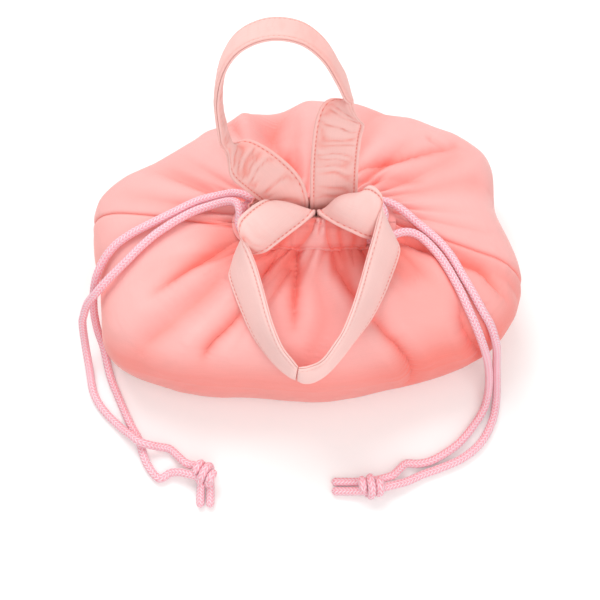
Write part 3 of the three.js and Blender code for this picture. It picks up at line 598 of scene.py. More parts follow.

# Gathers: every pleat of the neck runs down into the body, each to its own reach, and is deepest at the
# neck, with painted shade in its valley
pleats = np.random.default_rng(11)
FRONT_PLEATS = 13
BACK_PLEATS = 23
for k in range(FRONT_PLEATS + BACK_PLEATS):
    back = k >= FRONT_PLEATS
    place = k + pleats.uniform(0.2, 0.8)
    middle = 1 + (place - FRONT_PLEATS) / BACK_PLEATS if back else place / FRONT_PLEATS
    foot = pleats.uniform(0.1, 0.75) if back else pleats.uniform(0.35, 0.8)
    depth = pleats.uniform(1.4, 3.4) if back else pleats.uniform(0.9, 2.4)
    half_width = pleats.uniform(0.006, 0.011) if back else pleats.uniform(0.008, 0.016)
    spread = half_width * (1 + 1.6 * np.clip(1 - level_flat, 0, 1))
    bend = pleats.uniform(-0.04, 0.04) * np.sin(3 * level_flat)
    away = np.abs(np.mod(turn_flat - middle - bend + 1, 2) - 1) / spread
    growth = eased(level_flat, foot, 1)
    sink += depth * growth * (np.exp(-away ** 1.3) - 0.3 * hump(away, 2.2, 1))
    painted_shade += 0.5 * growth * np.exp(-away ** 2)

# Larger folds of the back, which the photograph doesn't show, fan out from the neck to the rim, with
# painted shade in their valleys
for middle, bend, foot, half_width, depth in [
    (1.13, 0.05, -0.1, 0.03, 3.5), (1.27, -0.03, 0.0, 0.028, 4.5), (1.42, 0.02, -0.2, 0.03, 4),
    (1.55, 0.04, 0.1, 0.024, 3.5), (1.68, -0.04, -0.1, 0.03, 4.5), (1.84, 0.03, 0.05, 0.028, 3.5),
]:
    reach = np.clip((level_flat - foot) / 0.5, 0, 1) ** 2 * np.clip((1.05 - level_flat) / 0.35, 0, 1)
    away = np.abs(turn_flat - middle - bend * np.sin(2.4 * level_flat)) / half_width
    sink += depth * reach * (np.exp(-away ** 1.4) - 0.3 * hump(away, 2, 1))
    painted_shade += 0.35 * reach * np.exp(-away ** 2)

# The cloth's own slight unevenness, and the pull of the base seam
x, y, z = flat_wall.T
swell = value_noise(x / 34 + 9, y / 30 + z / 24 + 9, 3)
ripple = value_noise(x / 9 + 40, y / 11 + z / 8 + 40, 5)
sink += 2.2 * (0.5 - swell) + 0.5 * (0.5 - ripple)
sink *= np.clip((level_flat + 1) / 0.35, 0, 1)

# Both side seams draw the cloth in along a narrow line, and painted shade darkens that line
SEAM_DEPTH = 1.5
seam_length = np.linalg.norm(np.gradient(smooth_wall, axis=0), axis=-1).ravel() * (PANEL_COLUMNS - 1)
seam_distance = np.minimum(np.abs(np.mod(turn_flat + 0.5, 1) - 0.5), 1) * seam_length
sink += SEAM_DEPTH * np.exp(-(seam_distance / 1.3) ** 1.2)
painted_shade += 0.7 * hump(seam_distance, 0, 0.9)

# Painted shade: the colour deepens where the cloth hangs steeply, to the right in front, which faces away
# from the key lamp, and where it crowds under the front casing in the shade of the handle's lobes
STEEP_PAINTED_SHADE = 0.72
RIGHT_PAINTED_SHADE = 0.34
CROWDED_PAINTED_SHADE = 0.85
in_front = eased(np.sin(math.pi * turn_flat), -0.4, 0.5)
steep = 1 - eased(flat_normal[:, 2], 0.1, 1.0)
crowded = eased(level_flat, 0.66, 0.95) * eased(np.abs(x + 0.4), 7, 12)
broad_painted_shade = STEEP_PAINTED_SHADE * steep * (0.35 + 0.65 * in_front)
broad_painted_shade += (CROWDED_PAINTED_SHADE * crowded + RIGHT_PAINTED_SHADE * eased(x, 15, 70)) * in_front
painted_shade = 1 - (1 - 0.95 * np.clip(painted_shade, 0, 1)) * (1 - np.clip(broad_painted_shade, 0, 1))

# The cloth gives way under the cords: a point nearer to one than the clearance moves inward by
# what it lacks, and its neighbours by less
CORD_CLEARANCE = CORD_DIAMETER / 2 + 0.15
CORD_NEAR = 14
DENT_DEPTH = 0.45
DENT_REACH = 2.5
wall = flat_wall - sink[:, None] * flat_normal
cord_shadow = np.zeros(len(wall))
for path in strand_paths.values():
    close = np.linalg.norm(wall[:, None] - path[::24], axis=-1).min(axis=1) < CORD_NEAR
    distance = nearest_on_route(wall[close], path)[0]
    lack = np.clip(CORD_CLEARANCE - distance, 0, None)
    dent = DENT_DEPTH * np.exp(-np.clip(distance - CORD_CLEARANCE, 0, None) / DENT_REACH)
    wall[close] -= (lack + dent)[:, None] * flat_normal[close]
    cord_shadow[close] = np.maximum(cord_shadow[close], hump(distance, 2.4, 1.2))
wall[:, 2] = np.maximum(wall[:, 2], 0)


def calculate(tree, operation, *values):
    """The result of a Math node on values or other nodes' outputs."""
    return add_node(tree, "Math", 0, dict(enumerate(values)), operation=operation)


def weave_group():
    """A plain weave as a node group: two crossing waves of yarn multiplied into small bumps, with
    uneven yarns as streaks along one of them."""
    group = bpy.data.node_groups.new("plain_weave", "ShaderNodeTree")
    for name, way, form in [
        ("Cloth", "INPUT", "Vector"), ("Yarn spacing", "INPUT", "Float"),
        ("Height", "OUTPUT", "Float"), ("Tone", "OUTPUT", "Float"),
    ]:
        group.interface.new_socket(name, in_out=way, socket_type=f"NodeSocket{form}")
    start = group.nodes.new("NodeGroupInput").outputs
    waves = []
    for axis in ("X", "Y"):
        place = add_node(group, "SeparateXYZ", axis, {"Vector": start["Cloth"]})
        count = calculate(group, "DIVIDE", place, start["Yarn spacing"])
        waves.append(calculate(group, "SINE", calculate(group, "MULTIPLY", count, math.pi)))
    along = add_node(group, "VectorMath", "Vector", {
        0: start["Cloth"], 1: (0.045, 1.1, 1)}, operation="MULTIPLY")
    streaks = noise(group, 1.6, 3, place=along)
    set_inputs(group, group.nodes.new("NodeGroupOutput"), {
        "Height": calculate(group, "MULTIPLY_ADD", calculate(group, "MULTIPLY", *waves), 0.5, streaks),
        "Tone": mapped(group, streaks, -1, 1, 0.3, 0.7)})
    return group


plain_weave = weave_group()


def cloth_material(name, colour, shade_colour, roughness, sheen, yarn, bump_depth):
    """Woven cloth: its colour deepens toward the shade colour where the folds mask, which is painted shade,
    is high, varies softly over the piece and from yarn to yarn, and the weave and fine crumples give it its
    bump."""
    material, tree, shader = cloth_shader(name, roughness, sheen, 0.45, (1, 0.9, 0.88))
    folds = add_node(tree, "Attribute", "Fac", attribute_name="folds")
    cloth = add_node(tree, "Attribute", "Vector", attribute_name="cloth")
    height = add_node(tree, "Group", "Height", {
        "Cloth": cloth, "Yarn spacing": yarn}, node_tree=plain_weave)
    patches = noise(tree, 26, 3)
    mixed = add_node(tree, "Mix", "Result", {
        "Factor": mapped(tree, folds, 0, 0.75), "A": (*colour, 1), "B": (*shade_colour, 1),
    }, data_type="RGBA")
    yarn_tone = calculate(tree, "MULTIPLY_ADD", height.node.outputs["Tone"], 0.018, 1.0)
    patch_tone = mapped(tree, patches, 0.975, 1.02, 0.3, 0.7)
    crumples = bump(tree, noise(tree, 240, 4, 0.4), 0.35, 0.0006)
    set_inputs(tree, shader, {
        "Base Color": scaled(tree, mixed, calculate(tree, "MULTIPLY", yarn_tone, patch_tone)),
        "Roughness": mapped(tree, patches, roughness - 0.06, roughness + 0.06),
        "Normal": bump(tree, height, 0.5, bump_depth, Normal=crumples)})
    return material


# Each cloth's second colour is the painted shade that its folds mask mixes in
shell_cloth = cloth_material(
    "salmon_shell_cloth", (0.98, 0.49, 0.465), (0.96, 0.15, 0.105), 0.72, 0.4, 0.42, 0.00008), "shell_cloth"

wall_grid = wall.reshape(smooth_wall.shape)
cloth_rise = distance_run(smooth_wall.swapaxes(0, 1)).T
cloth_grid = np.stack([distance_run(smooth_wall), cloth_rise, np.zeros(wall_count)], axis=-1)
painted_shade_grid = np.clip(painted_shade + 0.55 * cord_shadow, 0, 1).reshape(wall_count)

TUCK = 2.0
for side, start in SIDES:
    columns = slice(start, start + PANEL_COLUMNS)
    surface, tuck = wall_grid[columns], TUCK * smooth_normal[columns]
    surface = np.concatenate([surface[:1] - tuck[:1], surface, surface[-1:] - tuck[-1:]])
    keep = [0, *range(PANEL_COLUMNS), PANEL_COLUMNS - 1]
    make_piece(
        f"{side}_panel", surface, grid_faces(PANEL_COLUMNS + 2, PANEL_ROWS), shell_cloth,
        [f"outer_{side}_panel"], {"folds": painted_shade_grid[columns][keep], "cloth": cloth_grid[columns][keep]})

# Base
# A flat oval panel of the same cloth, sewn to both walls by a seam that turns under. It rests on
# the floor.
BASE_RINGS = 60
base_turn = turn_grid[:-1:2, 0]
base_edge = wall_point(base_turn, np.full(base_turn.shape, -1.0))[:, :2]
ring_share = np.linspace(1, 0, BASE_RINGS)[:, None]
base_plan = BODY_CENTRE + (base_edge - BODY_CENTRE) * ring_share[..., None]
edge_gap = (1 - ring_share) * np.linalg.norm(base_edge - BODY_CENTRE, axis=1)
base_lift = 1.6 * np.exp(-(edge_gap / 1.4) ** 1.5)
base_lift += 0.35 * value_noise(base_plan[..., 0] / 14 + 60, base_plan[..., 1] / 14 + 60, 8)
base_lift = np.where(edge_gap < 0.01, 2.2, base_lift)
# Painted shade darkens the base panel along its seam edge
make_piece(
    "base_panel", raised(base_plan, base_lift),
    grid_faces(BASE_RINGS, len(base_turn), closed=True)[:, ::-1], shell_cloth, ["outer_base_panel"],
    {"folds": 0.7 * hump(edge_gap, 0, 1.5), "cloth": raised(base_plan, 0)},
    inside=np.array([*BODY_CENTRE, EQUATOR_HEIGHT]))

# Wadding
# Soft filling between the shell and the lining, one padded layer behind each panel. It follows the
# shell's folds and is what puffs them up.
WADDING_DEPTHS = (1.5, 4.0)
HIDDEN_COLUMN_STEP = 3
HIDDEN_ROW_STEP = 2
OVAL_RINGS = 12
OVAL_SHARE = (0.985, 0.02)
wall_sink = np.einsum("ijk,ijk->ij", smooth_wall - wall_grid, smooth_normal)
deepest = wall_sink.copy()
for across in range(-HIDDEN_COLUMN_STEP, HIDDEN_COLUMN_STEP + 1):
    for up in range(-HIDDEN_ROW_STEP, HIDDEN_ROW_STEP + 1):
        deepest = np.maximum(deepest, np.roll(wall_sink, (across, up), axis=(0, 1)))


def collar(columns, plan):
    """Rings over the columns' turns: the mouth's outline at each radius of a plan, at the height
    that stands with it."""
    radius, height = np.reshape(plan, (-1, 2)).T
    return raised(mouth_point(turn_grid[columns], radius), height)


def hidden_layer(start, depths, collars=((), ())):
    """A layer behind the panel that starts at a column: two skins, each the smooth wall on a
    coarser grid, moved inward by the deepest fold among the grid's neighbouring points and by a
    depth, with a collar above. Each column is a loop up one skin and down the other, and a strip
    closes each end. The columns on the side seams are left out."""
    columns = np.append(
        np.arange(start, start + PANEL_COLUMNS, HIDDEN_COLUMN_STEP)[1:-1],
        start + PANEL_COLUMNS - HIDDEN_COLUMN_STEP)
    picked = np.ix_(columns, [*range(0, PANEL_ROWS, HIDDEN_ROW_STEP), PANEL_ROWS - 1])
    outer, inner = (
        np.concatenate([
            smooth_wall[picked] - (depth + deepest[picked])[..., None] * smooth_normal[picked],
            collar(columns, plan)], axis=1)
        for depth, plan in zip(depths, collars))
    loops = np.concatenate([outer, inner[:, ::-1]], axis=1)
    loops[..., 2] = np.maximum(loops[..., 2], depths[0])
    count = loops.shape[1]
    low = np.arange(outer.shape[1] - 1)
    strip = np.stack([low, low + 1, count - 2 - low, count - 1 - low], axis=-1)
    return loops, np.concatenate([
        grid_faces(len(columns), count, closed=True), strip,
        strip[:, ::-1] + (len(columns) - 1) * count])


def flat_oval(depths):
    """A flat layer on the base: rings of its edge shrunk to the middle, at one height below and
    another above, which are the layer's depths behind the shell."""
    edge = base_edge[::4]
    plan = BODY_CENTRE + (edge - BODY_CENTRE) * np.linspace(*OVAL_SHARE, OVAL_RINGS)[:, None, None]
    grid = np.concatenate([raised(plan[::-1], depths[0]), raised(plan, depths[1])])
    return grid, capped_grid(grid)


def soft_filling():
    """Off-white fibre filling: clumps and stray fibres in its colour and its relief."""
    material, tree, shader = cloth_shader("soft_filling", 0.95, 0.4, 0.6, (1, 1, 1))
    clumps = noise(tree, 160, 6, 1.2)
    set_inputs(tree, shader, {
        "Base Color": colour_ramp(tree, clumps, [(0, (0.78, 0.76, 0.72)), (1, (0.93, 0.92, 0.9))]),
        "Normal": bump(tree, clumps, 0.6, 0.001)})
    return material


filling = soft_filling(), "wadding"
wadding_layers = {side: hidden_layer(start, WADDING_DEPTHS) for side, start in SIDES}
for side, layer in {**wadding_layers, "base": flat_oval(WADDING_DEPTHS)}.items():
    piece = make_piece(f"wadding_layer_{side}", *layer, filling, [f"wadding_{side}"])

# Lining
# Thin smooth cloth inside the wadding. At the mouth it rises in a collar to the rim, inside the
# gathered casings, where the handles' ends are sewn in.
LINING_DEPTHS = (4.3, 5.1)
LINING_RUN = 330
COLLAR_FOOT = 72
COLLAR_PLAN = [
    (13.5, 68.6), (10.5, 68.9), (8, 69.6), (6.8, 71.2), (6.45, 73.5), (6.45, 77), (6.45, 82),
    (6.4, 86.9), (6.1, 87.5),
]
COLLAR_INSIDE = [
    (13, 67.7), (10, 68.0), (7.3, 68.9), (6, 70.9), (5.7, 73.6), (5.65, 77), (5.65, 82),
    (5.65, 86.9), (5.85, 87.5),
]
smooth_lining = cloth_material(
    "smooth_lining", (0.80, 0.43, 0.37), (0.5, 0.2, 0.16), 0.6, 0.15, 0.3, 0.00004), "lining_cloth"
for side, start in SIDES:
    loops, faces = hidden_layer(start, LINING_DEPTHS, (COLLAR_PLAN, COLLAR_INSIDE))
    heights = loops[..., 2]
    run = np.broadcast_to(np.linspace(0, LINING_RUN, len(loops))[:, None], heights.shape)
    # Painted shade darkens the lining where its collar rises from the wall
    make_piece(f"lining_cloth_{side}", loops, faces, smooth_lining, [f"lining_{side}"], {
        "folds": hump(heights, COLLAR_FOOT, 4) * 0.4, "cloth": np.stack([run, heights, 0 * run], axis=-1)})
grid, faces = flat_oval(LINING_DEPTHS)
make_piece("lining_cloth_base", grid, faces, smooth_lining, ["lining_base"], {
    "folds": np.zeros(grid.shape[:2]), "cloth": grid})

# Casings
# On each side of the mouth a strip of the shell's cloth is folded over both cords, sewn to the
# panel below and gathered by the cords, with a short ruffle above and a leaf round each end.
CASING_COLUMNS = 280
LOOP_POINTS = 84
CAVITY_RADIUS = 2.95
CAVITY_WALL = 0.25
CAVITY_DEPTHS = (9, 4, 0.4)
SEAM_LINE = 73.1
SLIT_START = 80
RUFFLE_START = 85.5
GATHER_RISE = 2.1
GATHER_SINK = 1.25
# Radius from the mouth's middle line, height, how far it follows the neck's folds, and how high
# the gathers stand there
CASING_LOOP = np.array([
    (6.75, 87.3, 0, 0), (6.75, 84.5, 0, 0), (6.75, 80.5, 0, 0), (7.35, 78.3, 0, 0),
    (9.2, 75.6, 0, 0), (11, 73.2, 0.2, 0), (13.6, 71.9, 0.7, 0.1), (16.6, 71.6, 1, 0.3),
    (18.1, 71.7, 1, 0.35), (17.8, 72.6, 0.8, 0.4), (17.5, 74, 0.4, 0.9), (17.4, 75.7, 0.2, 1),
    (16.7, 77.6, 0.1, 1), (15.5, 79.5, 0, 1), (14.5, 81.3, 0, 1), (13.4, 83, 0, 1),
    (11.9, 84.2, 0, 0.9), (10.3, 84.7, 0, 0.7), (9.3, 85.2, 0, 0.6), (9.1, 86.3, 0, 1.1),
    (9.2, 87.6, 0, 1.4), (8.6, 88.5, 0, 1.3), (7.6, 88.6, 0, 0.6), (6.95, 88.1, 0, 0),
])
# Where the gathers' lines stand along the casing: in front the photograph shows a smooth flap in
# the middle, which is broad at the seam and narrow at the top, with a slit above only
FRONT_LINES = [-30, -20.5, -9.6, 9.6, 16, 22.5, 30]
FRONT_SLITS = [-30, -20.5, -9.6, 0, 9.6, 16, 22.5, 30]
BACK_LINES = [-30, -26.4, -22.2, -17.1, -13.4, -9.2, -3.9, 0.8, 4.3, 9.6, 13.3, 18.4, 22.7, 26.1, 30]
BACK_SLITS = [-30, -28, -24.5, -20, -16, -11, -7.2, -1.6, 2.6, 7, 11.2, 16, 20.4, 24.6, 30]
FLAP_HALF = (9.6, 2.6)
FLAP_TOP_MIDDLE = 3.2
FLAP_HEIGHTS = (73, 86)


def between_lines(place, lines):
    """Height of cloth gathered at lines: 0 on each of them and 1 half-way between two, by the
    root of a half sine."""
    lines = np.asarray(lines, float)
    cell = np.clip(np.searchsorted(lines, place, side="right") - 1, 0, len(lines) - 2)
    share = (place - lines[cell]) / (lines[cell + 1] - lines[cell])
    return np.sqrt(np.abs(np.sin(math.pi * share)))


def from_flap(place, height):
    """Places along the front casing as they would be at its seam: they spread with height from
    the flap's narrow top, so that the flap's sides stay at the same numbers."""
    share = np.clip((height - FLAP_HEIGHTS[0]) / (FLAP_HEIGHTS[1] - FLAP_HEIGHTS[0]), 0, 1)
    seam_half, top_half = FLAP_HALF
    half = seam_half + (top_half - seam_half) * share
    off = place - FLAP_TOP_MIDDLE * share
    rest = NECK_HALF_RUN + FLAP_TOP_MIDDLE
    beyond = seam_half + (np.abs(off) - half) / (rest - half) * (rest - seam_half)
    return np.sign(off) * np.where(np.abs(off) < half, np.abs(off) / half * seam_half, beyond)


def closed_section(rows, count):
    """A closed smooth section through rows, as a number of points."""
    return curve_through(rows, np.linspace(0, len(rows), count, endpoint=False), closed=True)


def casing_skin(side):
    """The casing's outside as a closed section carried along the mouth, row by row: the section
    stands off along its own normal by the gathers' height, follows the neck's folds below, and
    frills above. At both ends it turns into the cavity round the cords."""
    loop = closed_section(CASING_LOOP, LOOP_POINTS)
    slope = np.roll(loop, -1, axis=0) - np.roll(loop, 1, axis=0)
    normal = unit(slope[:, 1::-1] * [1, -1])
    reach, height, follow, gathered = loop.T
    place = np.linspace(-NECK_HALF_RUN, NECK_HALF_RUN, CASING_COLUMNS)[:, None]
    straight = (place / NECK_HALF_RUN + 1) / 2 * (1 - 2 * MOUTH_END_SHARE) + MOUTH_END_SHARE
    turn = straight if side < 0 else 2 - straight
    neck_y, neck_z = (np.interp(turn, turn_grid[:, 0], wall_grid[:, -1, k]) for k in (1, 2))
    lines, slits, seed = (FRONT_LINES, FRONT_SLITS, 21) if side < 0 else (BACK_LINES, BACK_SLITS, 22)
    upper = 0.75 * np.clip((height - SLIT_START) / 4, 0, 1)
    reference = place + 1.1 * (value_noise(place / 7 + 30, height / 5, seed) - 0.5)
    fine = value_noise(place / 1.7 + 50, height / 9, seed + 4) - 0.5
    flank = np.zeros(reference.shape)
    if side < 0:
        reference = from_flap(reference, height)
        flank = eased(np.abs(reference), FLAP_HALF[0] - 1, FLAP_HALF[0] + 1.5)
        fine = fine * (0.35 + 0.65 * flank)
    gather = (1 - upper) * between_lines(reference, lines) + upper * between_lines(reference, slits)
    stand = gathered * (GATHER_RISE * gather * (1 - 0.45 * flank) - GATHER_SINK + 0.7 * fine)
    frill = gathered * np.clip((height - RUFFLE_START) / 3, 0, 1) * np.sin(place / 1.9)
    seam = hump(height, SEAM_LINE, 0.45) * (reach > 15)
    radius = reach + stand * normal[:, 0] + 0.6 * frill
    radius = radius + follow * (neck_y * side - NECK_HALF_DEPTH) - 0.6 * seam
    rise = height + stand * normal[:, 1] + 0.35 * frill + follow * (neck_z - NECK_HEIGHT)

    # The skin keeps clear of the cavity round the line between both cords' middles
    section = np.stack([radius, rise], axis=-1)
    line = UPPER_CORD - LOWER_CORD
    share = np.clip((section - LOWER_CORD) @ line / (line @ line), 0, 1)
    nearest = LOWER_CORD + share[..., None] * line
    distance = np.linalg.norm(section - nearest, axis=-1, keepdims=True)
    outward = unit(section - nearest)
    section = nearest + np.maximum(distance, CAVITY_RADIUS + CAVITY_WALL) * outward
    cavity = nearest + CAVITY_RADIUS * outward
    along = place * (1 + 0.1 * np.clip((height - 84.5) / 4, 0, 1))
    left, right = (
        [np.insert(cavity[column], 0, end * (NECK_HALF_RUN - depth), axis=1) for depth in depths]
        for column, end, depths in [(0, -1, CAVITY_DEPTHS), (-1, 1, CAVITY_DEPTHS[::-1])])
    skin = np.concatenate([left, np.concatenate([along[..., None], section], axis=-1), right])
    skin[..., 1] *= side
    # Painted shade: the colour deepens in the valleys between gathers, over the flap's flanks in the lobes'
    # shade, along the seam, and fully in the cavities at both ends
    tint = (0.9 - gather) * (1.1 - 0.3 * flank) * np.minimum(gathered, 1) + 0.65 * flank + 0.5 * seam
    return skin, np.pad(np.clip(tint, 0, 1), ((3, 3), (0, 0)), constant_values=1)


# The leaf's section: radius and height, up the side of the lining's collar
LEAF_LOOP = np.array([
    (6.75, 87.4), (6.75, 84), (6.75, 80.4), (7.45, 78.2), (9.1, 75.7), (10.8, 73.5), (12.3, 72.3),
    (14.5, 71.7), (17.2, 71.7), (17.8, 72.0), (17.3, 72.5), (14.6, 72.6), (12.8, 73.1),
    (11.6, 74.2), (9.9, 76.5), (8.3, 78.7), (7.65, 80.6), (7.7, 84), (7.9, 87.4), (7.3, 88.0),
])
LEAF_POINTS = 60
LEAF_TURNS = 34
# Painted shade over the leaves round the mouth's ends
LEAF_PAINTED_SHADE = 0.25


def leaf_skin(side, end):
    """A leaf of cloth round the mouth's end: its section turned about the end of the neck's run,
    thrown into small waves that grow upward and outward."""
    reach, height = closed_section(LEAF_LOOP, LEAF_POINTS).T
    angle = np.linspace(-0.02, math.pi / 2, LEAF_TURNS)[:, None]
    wave = np.sin(angle * 9 + (1 if end > 0 else 2.2)) * np.clip(angle, 0, 0.25) * 4
    grow = np.clip((height - 82) / 6, 0, 1) * 0.5 + np.clip((reach - 13) / 4, 0, 1) * 0.3
    radius = reach + wave * grow * (height > 80)
    x = end * (NECK_HALF_RUN + radius * np.sin(angle))
    y = side * np.maximum(radius * np.cos(angle), 0.15)
    return np.stack([x, y, height + 0.5 * wave * grow], axis=-1)


for name, side in [("front", -1), ("back", 1)]:
    skin, folds = casing_skin(side)
    parts = [(skin.reshape(-1, 3), grid_faces(*folds.shape, closed=True))]
    painted_shades = [folds.ravel()]
    for end in (-1, 1):
        leaf = leaf_skin(side, end)
        order = -1 if end * side > 0 else 1
        parts.append((leaf.reshape(-1, 3), [face[::order] for face in capped_grid(leaf)]))
        painted_shades.append(np.full(leaf[..., 0].size, LEAF_PAINTED_SHADE))
    points, faces = joined(parts)
    make_piece(f"cord_casing_{name}", points, faces, shell_cloth, [f"casing_{name}"], {
        "folds": np.concatenate(painted_shades), "cloth": points[:, [0, 2, 1]]})

# Handles
# Two straps of an outer layer and a facing in pale peach cloth over thin wadding, topstitched along
# both edges. Their ends are sewn inside the mouth; the front one lies forward, the back one stands.
STRAP_HALF_WIDTH = 13.5
STRAP_REACH = 103
STRAP_STEP = 0.8
MOUTH_EXIT = np.array([3.8, 89.73])
SEWN_DEPTH = np.array([0, 0, 12])
BACK_SHIFT = -3
BACK_LEG_OFFSET = 14
BACK_LEAN = math.radians(25)
# The strap's middle beside, ahead of and above its place at the mouth as shares of its reach,
# then the span from the edge that is inner at the mouth to the outer one as shares of the width
FRONT_STRAP_SHARE = np.array([
    (-0.126, 0.0, 0.0, -1.0, 0.0, 0.0),
    (-0.127, 0.009, 0.038, -1.01, -0.05, 0.16),
    (-0.139, 0.028, 0.067, -0.95, -0.17, 0.34),
    (-0.175, 0.062, 0.083, -0.81, -0.29, 0.51),
    (-0.231, 0.111, 0.09, -0.72, -0.34, 0.61),
    (-0.289, 0.163, 0.087, -0.65, -0.37, 0.63),
    (-0.336, 0.21, 0.08, -0.57, -0.36, 0.65),
    (-0.36, 0.228, 0.058, -0.39, -0.14, 0.74),
    (-0.382, 0.226, 0.017, -0.1, 0.1, 0.8),
    (-0.402, 0.228, -0.02, 0.19, 0.19, 0.81),
    (-0.408, 0.264, -0.063, 0.39, 0.05, 0.89),
    (-0.391, 0.339, -0.092, 0.58, 0.2, 0.79),
    (-0.343, 0.49, -0.108, 0.51, 0.14, 0.85),
    (-0.284, 0.653, -0.135, 0.4, 0.19, 0.9),
    (-0.217, 0.768, -0.179, 0.29, 0.27, 0.91),
    (-0.15, 0.829, -0.233, 0.19, 0.24, 0.95),
    (-0.085, 0.859, -0.285, 0.01, 0.19, 0.98),
    (-0.019, 0.852, -0.296, 0.0, 0.11, 0.97),
    (0.052, 0.833, -0.246, -0.06, 0.17, 0.99),
    (0.125, 0.768, -0.179, -0.14, 0.19, 0.97),
    (0.189, 0.687, -0.139, -0.26, 0.27, 0.93),
    (0.254, 0.57, -0.117, -0.38, 0.17, 0.91),
    (0.311, 0.434, -0.103, -0.52, 0.2, 0.83),
    (0.356, 0.303, -0.081, -0.59, 0.2, 0.81),
    (0.388, 0.213, -0.033, -0.55, 0.03, 0.92),
    (0.4, 0.168, 0.008, -0.52, -0.01, 0.91),
    (0.387, 0.121, 0.044, -0.3, 0.0, 0.89),
    (0.363, 0.103, 0.067, -0.01, -0.17, 0.92),
    (0.334, 0.101, 0.09, 0.22, -0.45, 0.88),
    (0.302, 0.095, 0.118, 0.3, -0.61, 0.84),
    (0.256, 0.075, 0.134, 0.4, -0.6, 0.84),
    (0.21, 0.056, 0.132, 0.53, -0.5, 0.79),
    (0.174, 0.039, 0.113, 0.73, -0.36, 0.62),
    (0.151, 0.02, 0.083, 0.93, -0.19, 0.41),
    (0.146, 0.008, 0.044, 1.0, -0.06, 0.19),
    (0.146, 0.0, 0.0, 1.0, 0.0, 0.0),
])
CREASE_ROW = 15.9
# The strap's middle beside the mouth's middle and up the lean, then its width direction beside,
# behind and up the lean
BACK_STRAP_SHARE = np.array([
    (-0.165, 0.08, 0.98, 0.1, 0.15),
    (-0.262, 0.178, 0.8, 0.4, 0.42),
    (-0.372, 0.266, 0.56, 0.76, 0.3),
    (-0.438, 0.336, 0.22, 0.97, -0.12),
    (-0.468, 0.46, 0, 1, 0),
    (-0.478, 0.65, 0, 1, 0),
    (-0.438, 0.825, 0, 1, 0),
    (-0.349, 0.945, 0, 1, 0),
    (-0.204, 1.005, 0, 1, 0),
    (-0.049, 0.985, 0, 1, 0),
    (0.068, 0.893, 0, 1, 0),
    (0.145, 0.765, 0, 1, 0),
    (0.19, 0.67, 0, 1, 0),
    (0.206, 0.602, -0.3, 0.95, 0),
    (0.178, 0.53, -0.93, 0.36, 0.08),
    (0.151, 0.42, -1, 0.03, 0.03),
    (0.137, 0.22, -1, 0, 0),
])
# Bumps along a strap: row, reach in rows, and how high it is puffed up, or how much the back
# strap crumples narrow where it twists
FRONT_PUFFS = [
    (2.3, 1.0, 1.6), (4.4, 1.5, 1.8), (6.3, 1.2, 1.5), (27.6, 1.2, 1.2), (29.6, 1.8, 2.4),
    (32.1, 1.3, 4.6),
]
BACK_TWISTS = [(4, 0.6, 0.62), (14, 0.62, 0.66)]
CRUMPLE_PUFF = 1.6
# One layer's section: place across the strap and height above the seam between both layers
LAYER_SECTION = np.array([
    (13.5, 0.2), (13.42, 0.75), (13.1, 1.15), (12.6, 1.35), (12.1, 1.3), (11.75, 1.05),
    (11.5, 0.8), (11.25, 0.78), (11.0, 1.0), (10.6, 1.35), (10, 1.65), (9, 1.9), (7.6, 2.08),
    (6, 2.2), (4, 2.28), (2, 2.32), (0, 2.34),
])
UNDERSIDE = [13.2, 6, 0, -6, -13.2]
UNDERSIDE_HEIGHT = 0.08
SEWN_THICKNESS = 0.62
PUCKER_LINE = 10.6
STITCH_LINE = 11.38
STITCH_PITCH = 2.6
STITCH_LENGTH = 1.6
STITCH_RADIUS = 0.3
# A stitch's own section: place along it as a share of its length, and thickness
STITCH_SHAPE = np.array([(-0.5, 0.3), (-0.36, 0.95), (0, 1.05), (0.36, 0.95), (0.5, 0.3)])
STITCH_SIDES = 6

strap_cloth = cloth_material(
    "peach_strap_cloth", (0.99, 0.65, 0.61), (0.95, 0.23, 0.17), 0.7, 0.25, 0.36, 0.00006), "handle_cloth"


def strap_line(centres, spans, fade, squared):
    """A strap's middle line at even steps, with both ends carried down into the mouth: its width
    direction, its outer side's direction, its run, the row that each step comes from, a pinch
    that fades in over the first rows, whether it is stitched, and places for its other values.
    Where squared is true the width is made square to the line."""
    rows_in_all = len(centres)
    centres = np.concatenate([centres[:1] - SEWN_DEPTH, centres, centres[-1:] - SEWN_DEPTH])
    spans = np.concatenate([spans[:1], spans, spans[-1:]])
    fine = np.linspace(0, rows_in_all + 1, (rows_in_all + 1) * 30 + 1)
    run = distance_run(curve_through(centres, fine))
    steps = np.arange(0, run[-1], STRAP_STEP)
    rows = np.interp(steps, run, fine)
    weights = hump(np.arange(-6, 7), 0, 2.6)
    weights /= weights.sum()
    smoothed = []
    for table in (curve_through(centres, rows), curve_through(spans, rows)):
        padded = np.concatenate([
            2 * table[:1] - table[6:0:-1], table, 2 * table[-1:] - table[-2:-8:-1]])
        smoothed.append(np.stack([np.convolve(k, weights, "valid") for k in padded.T], axis=-1))
    centre, span = smoothed
    along = unit(np.gradient(centre, axis=0))
    if squared:
        span = unit(span - dots(span, along)[:, None] * along)
    row = rows - 1
    from_mouth = np.clip((row + 0.5) / fade, 0, 1) * np.clip((rows_in_all - 0.5 - row) / fade, 0, 1)
    return {
        "centre": centre, "span": span, "out": unit(np.cross(along, span)), "run": steps, "row": row,
        "pinch": SEWN_THICKNESS + (1 - SEWN_THICKNESS) * from_mouth,
        "stitched": (row > 0) & (row < rows_in_all - 1),
        "tint": np.zeros(len(row)), "crinkle": np.zeros(len(row)), "puff": np.zeros(len(row)),
    }


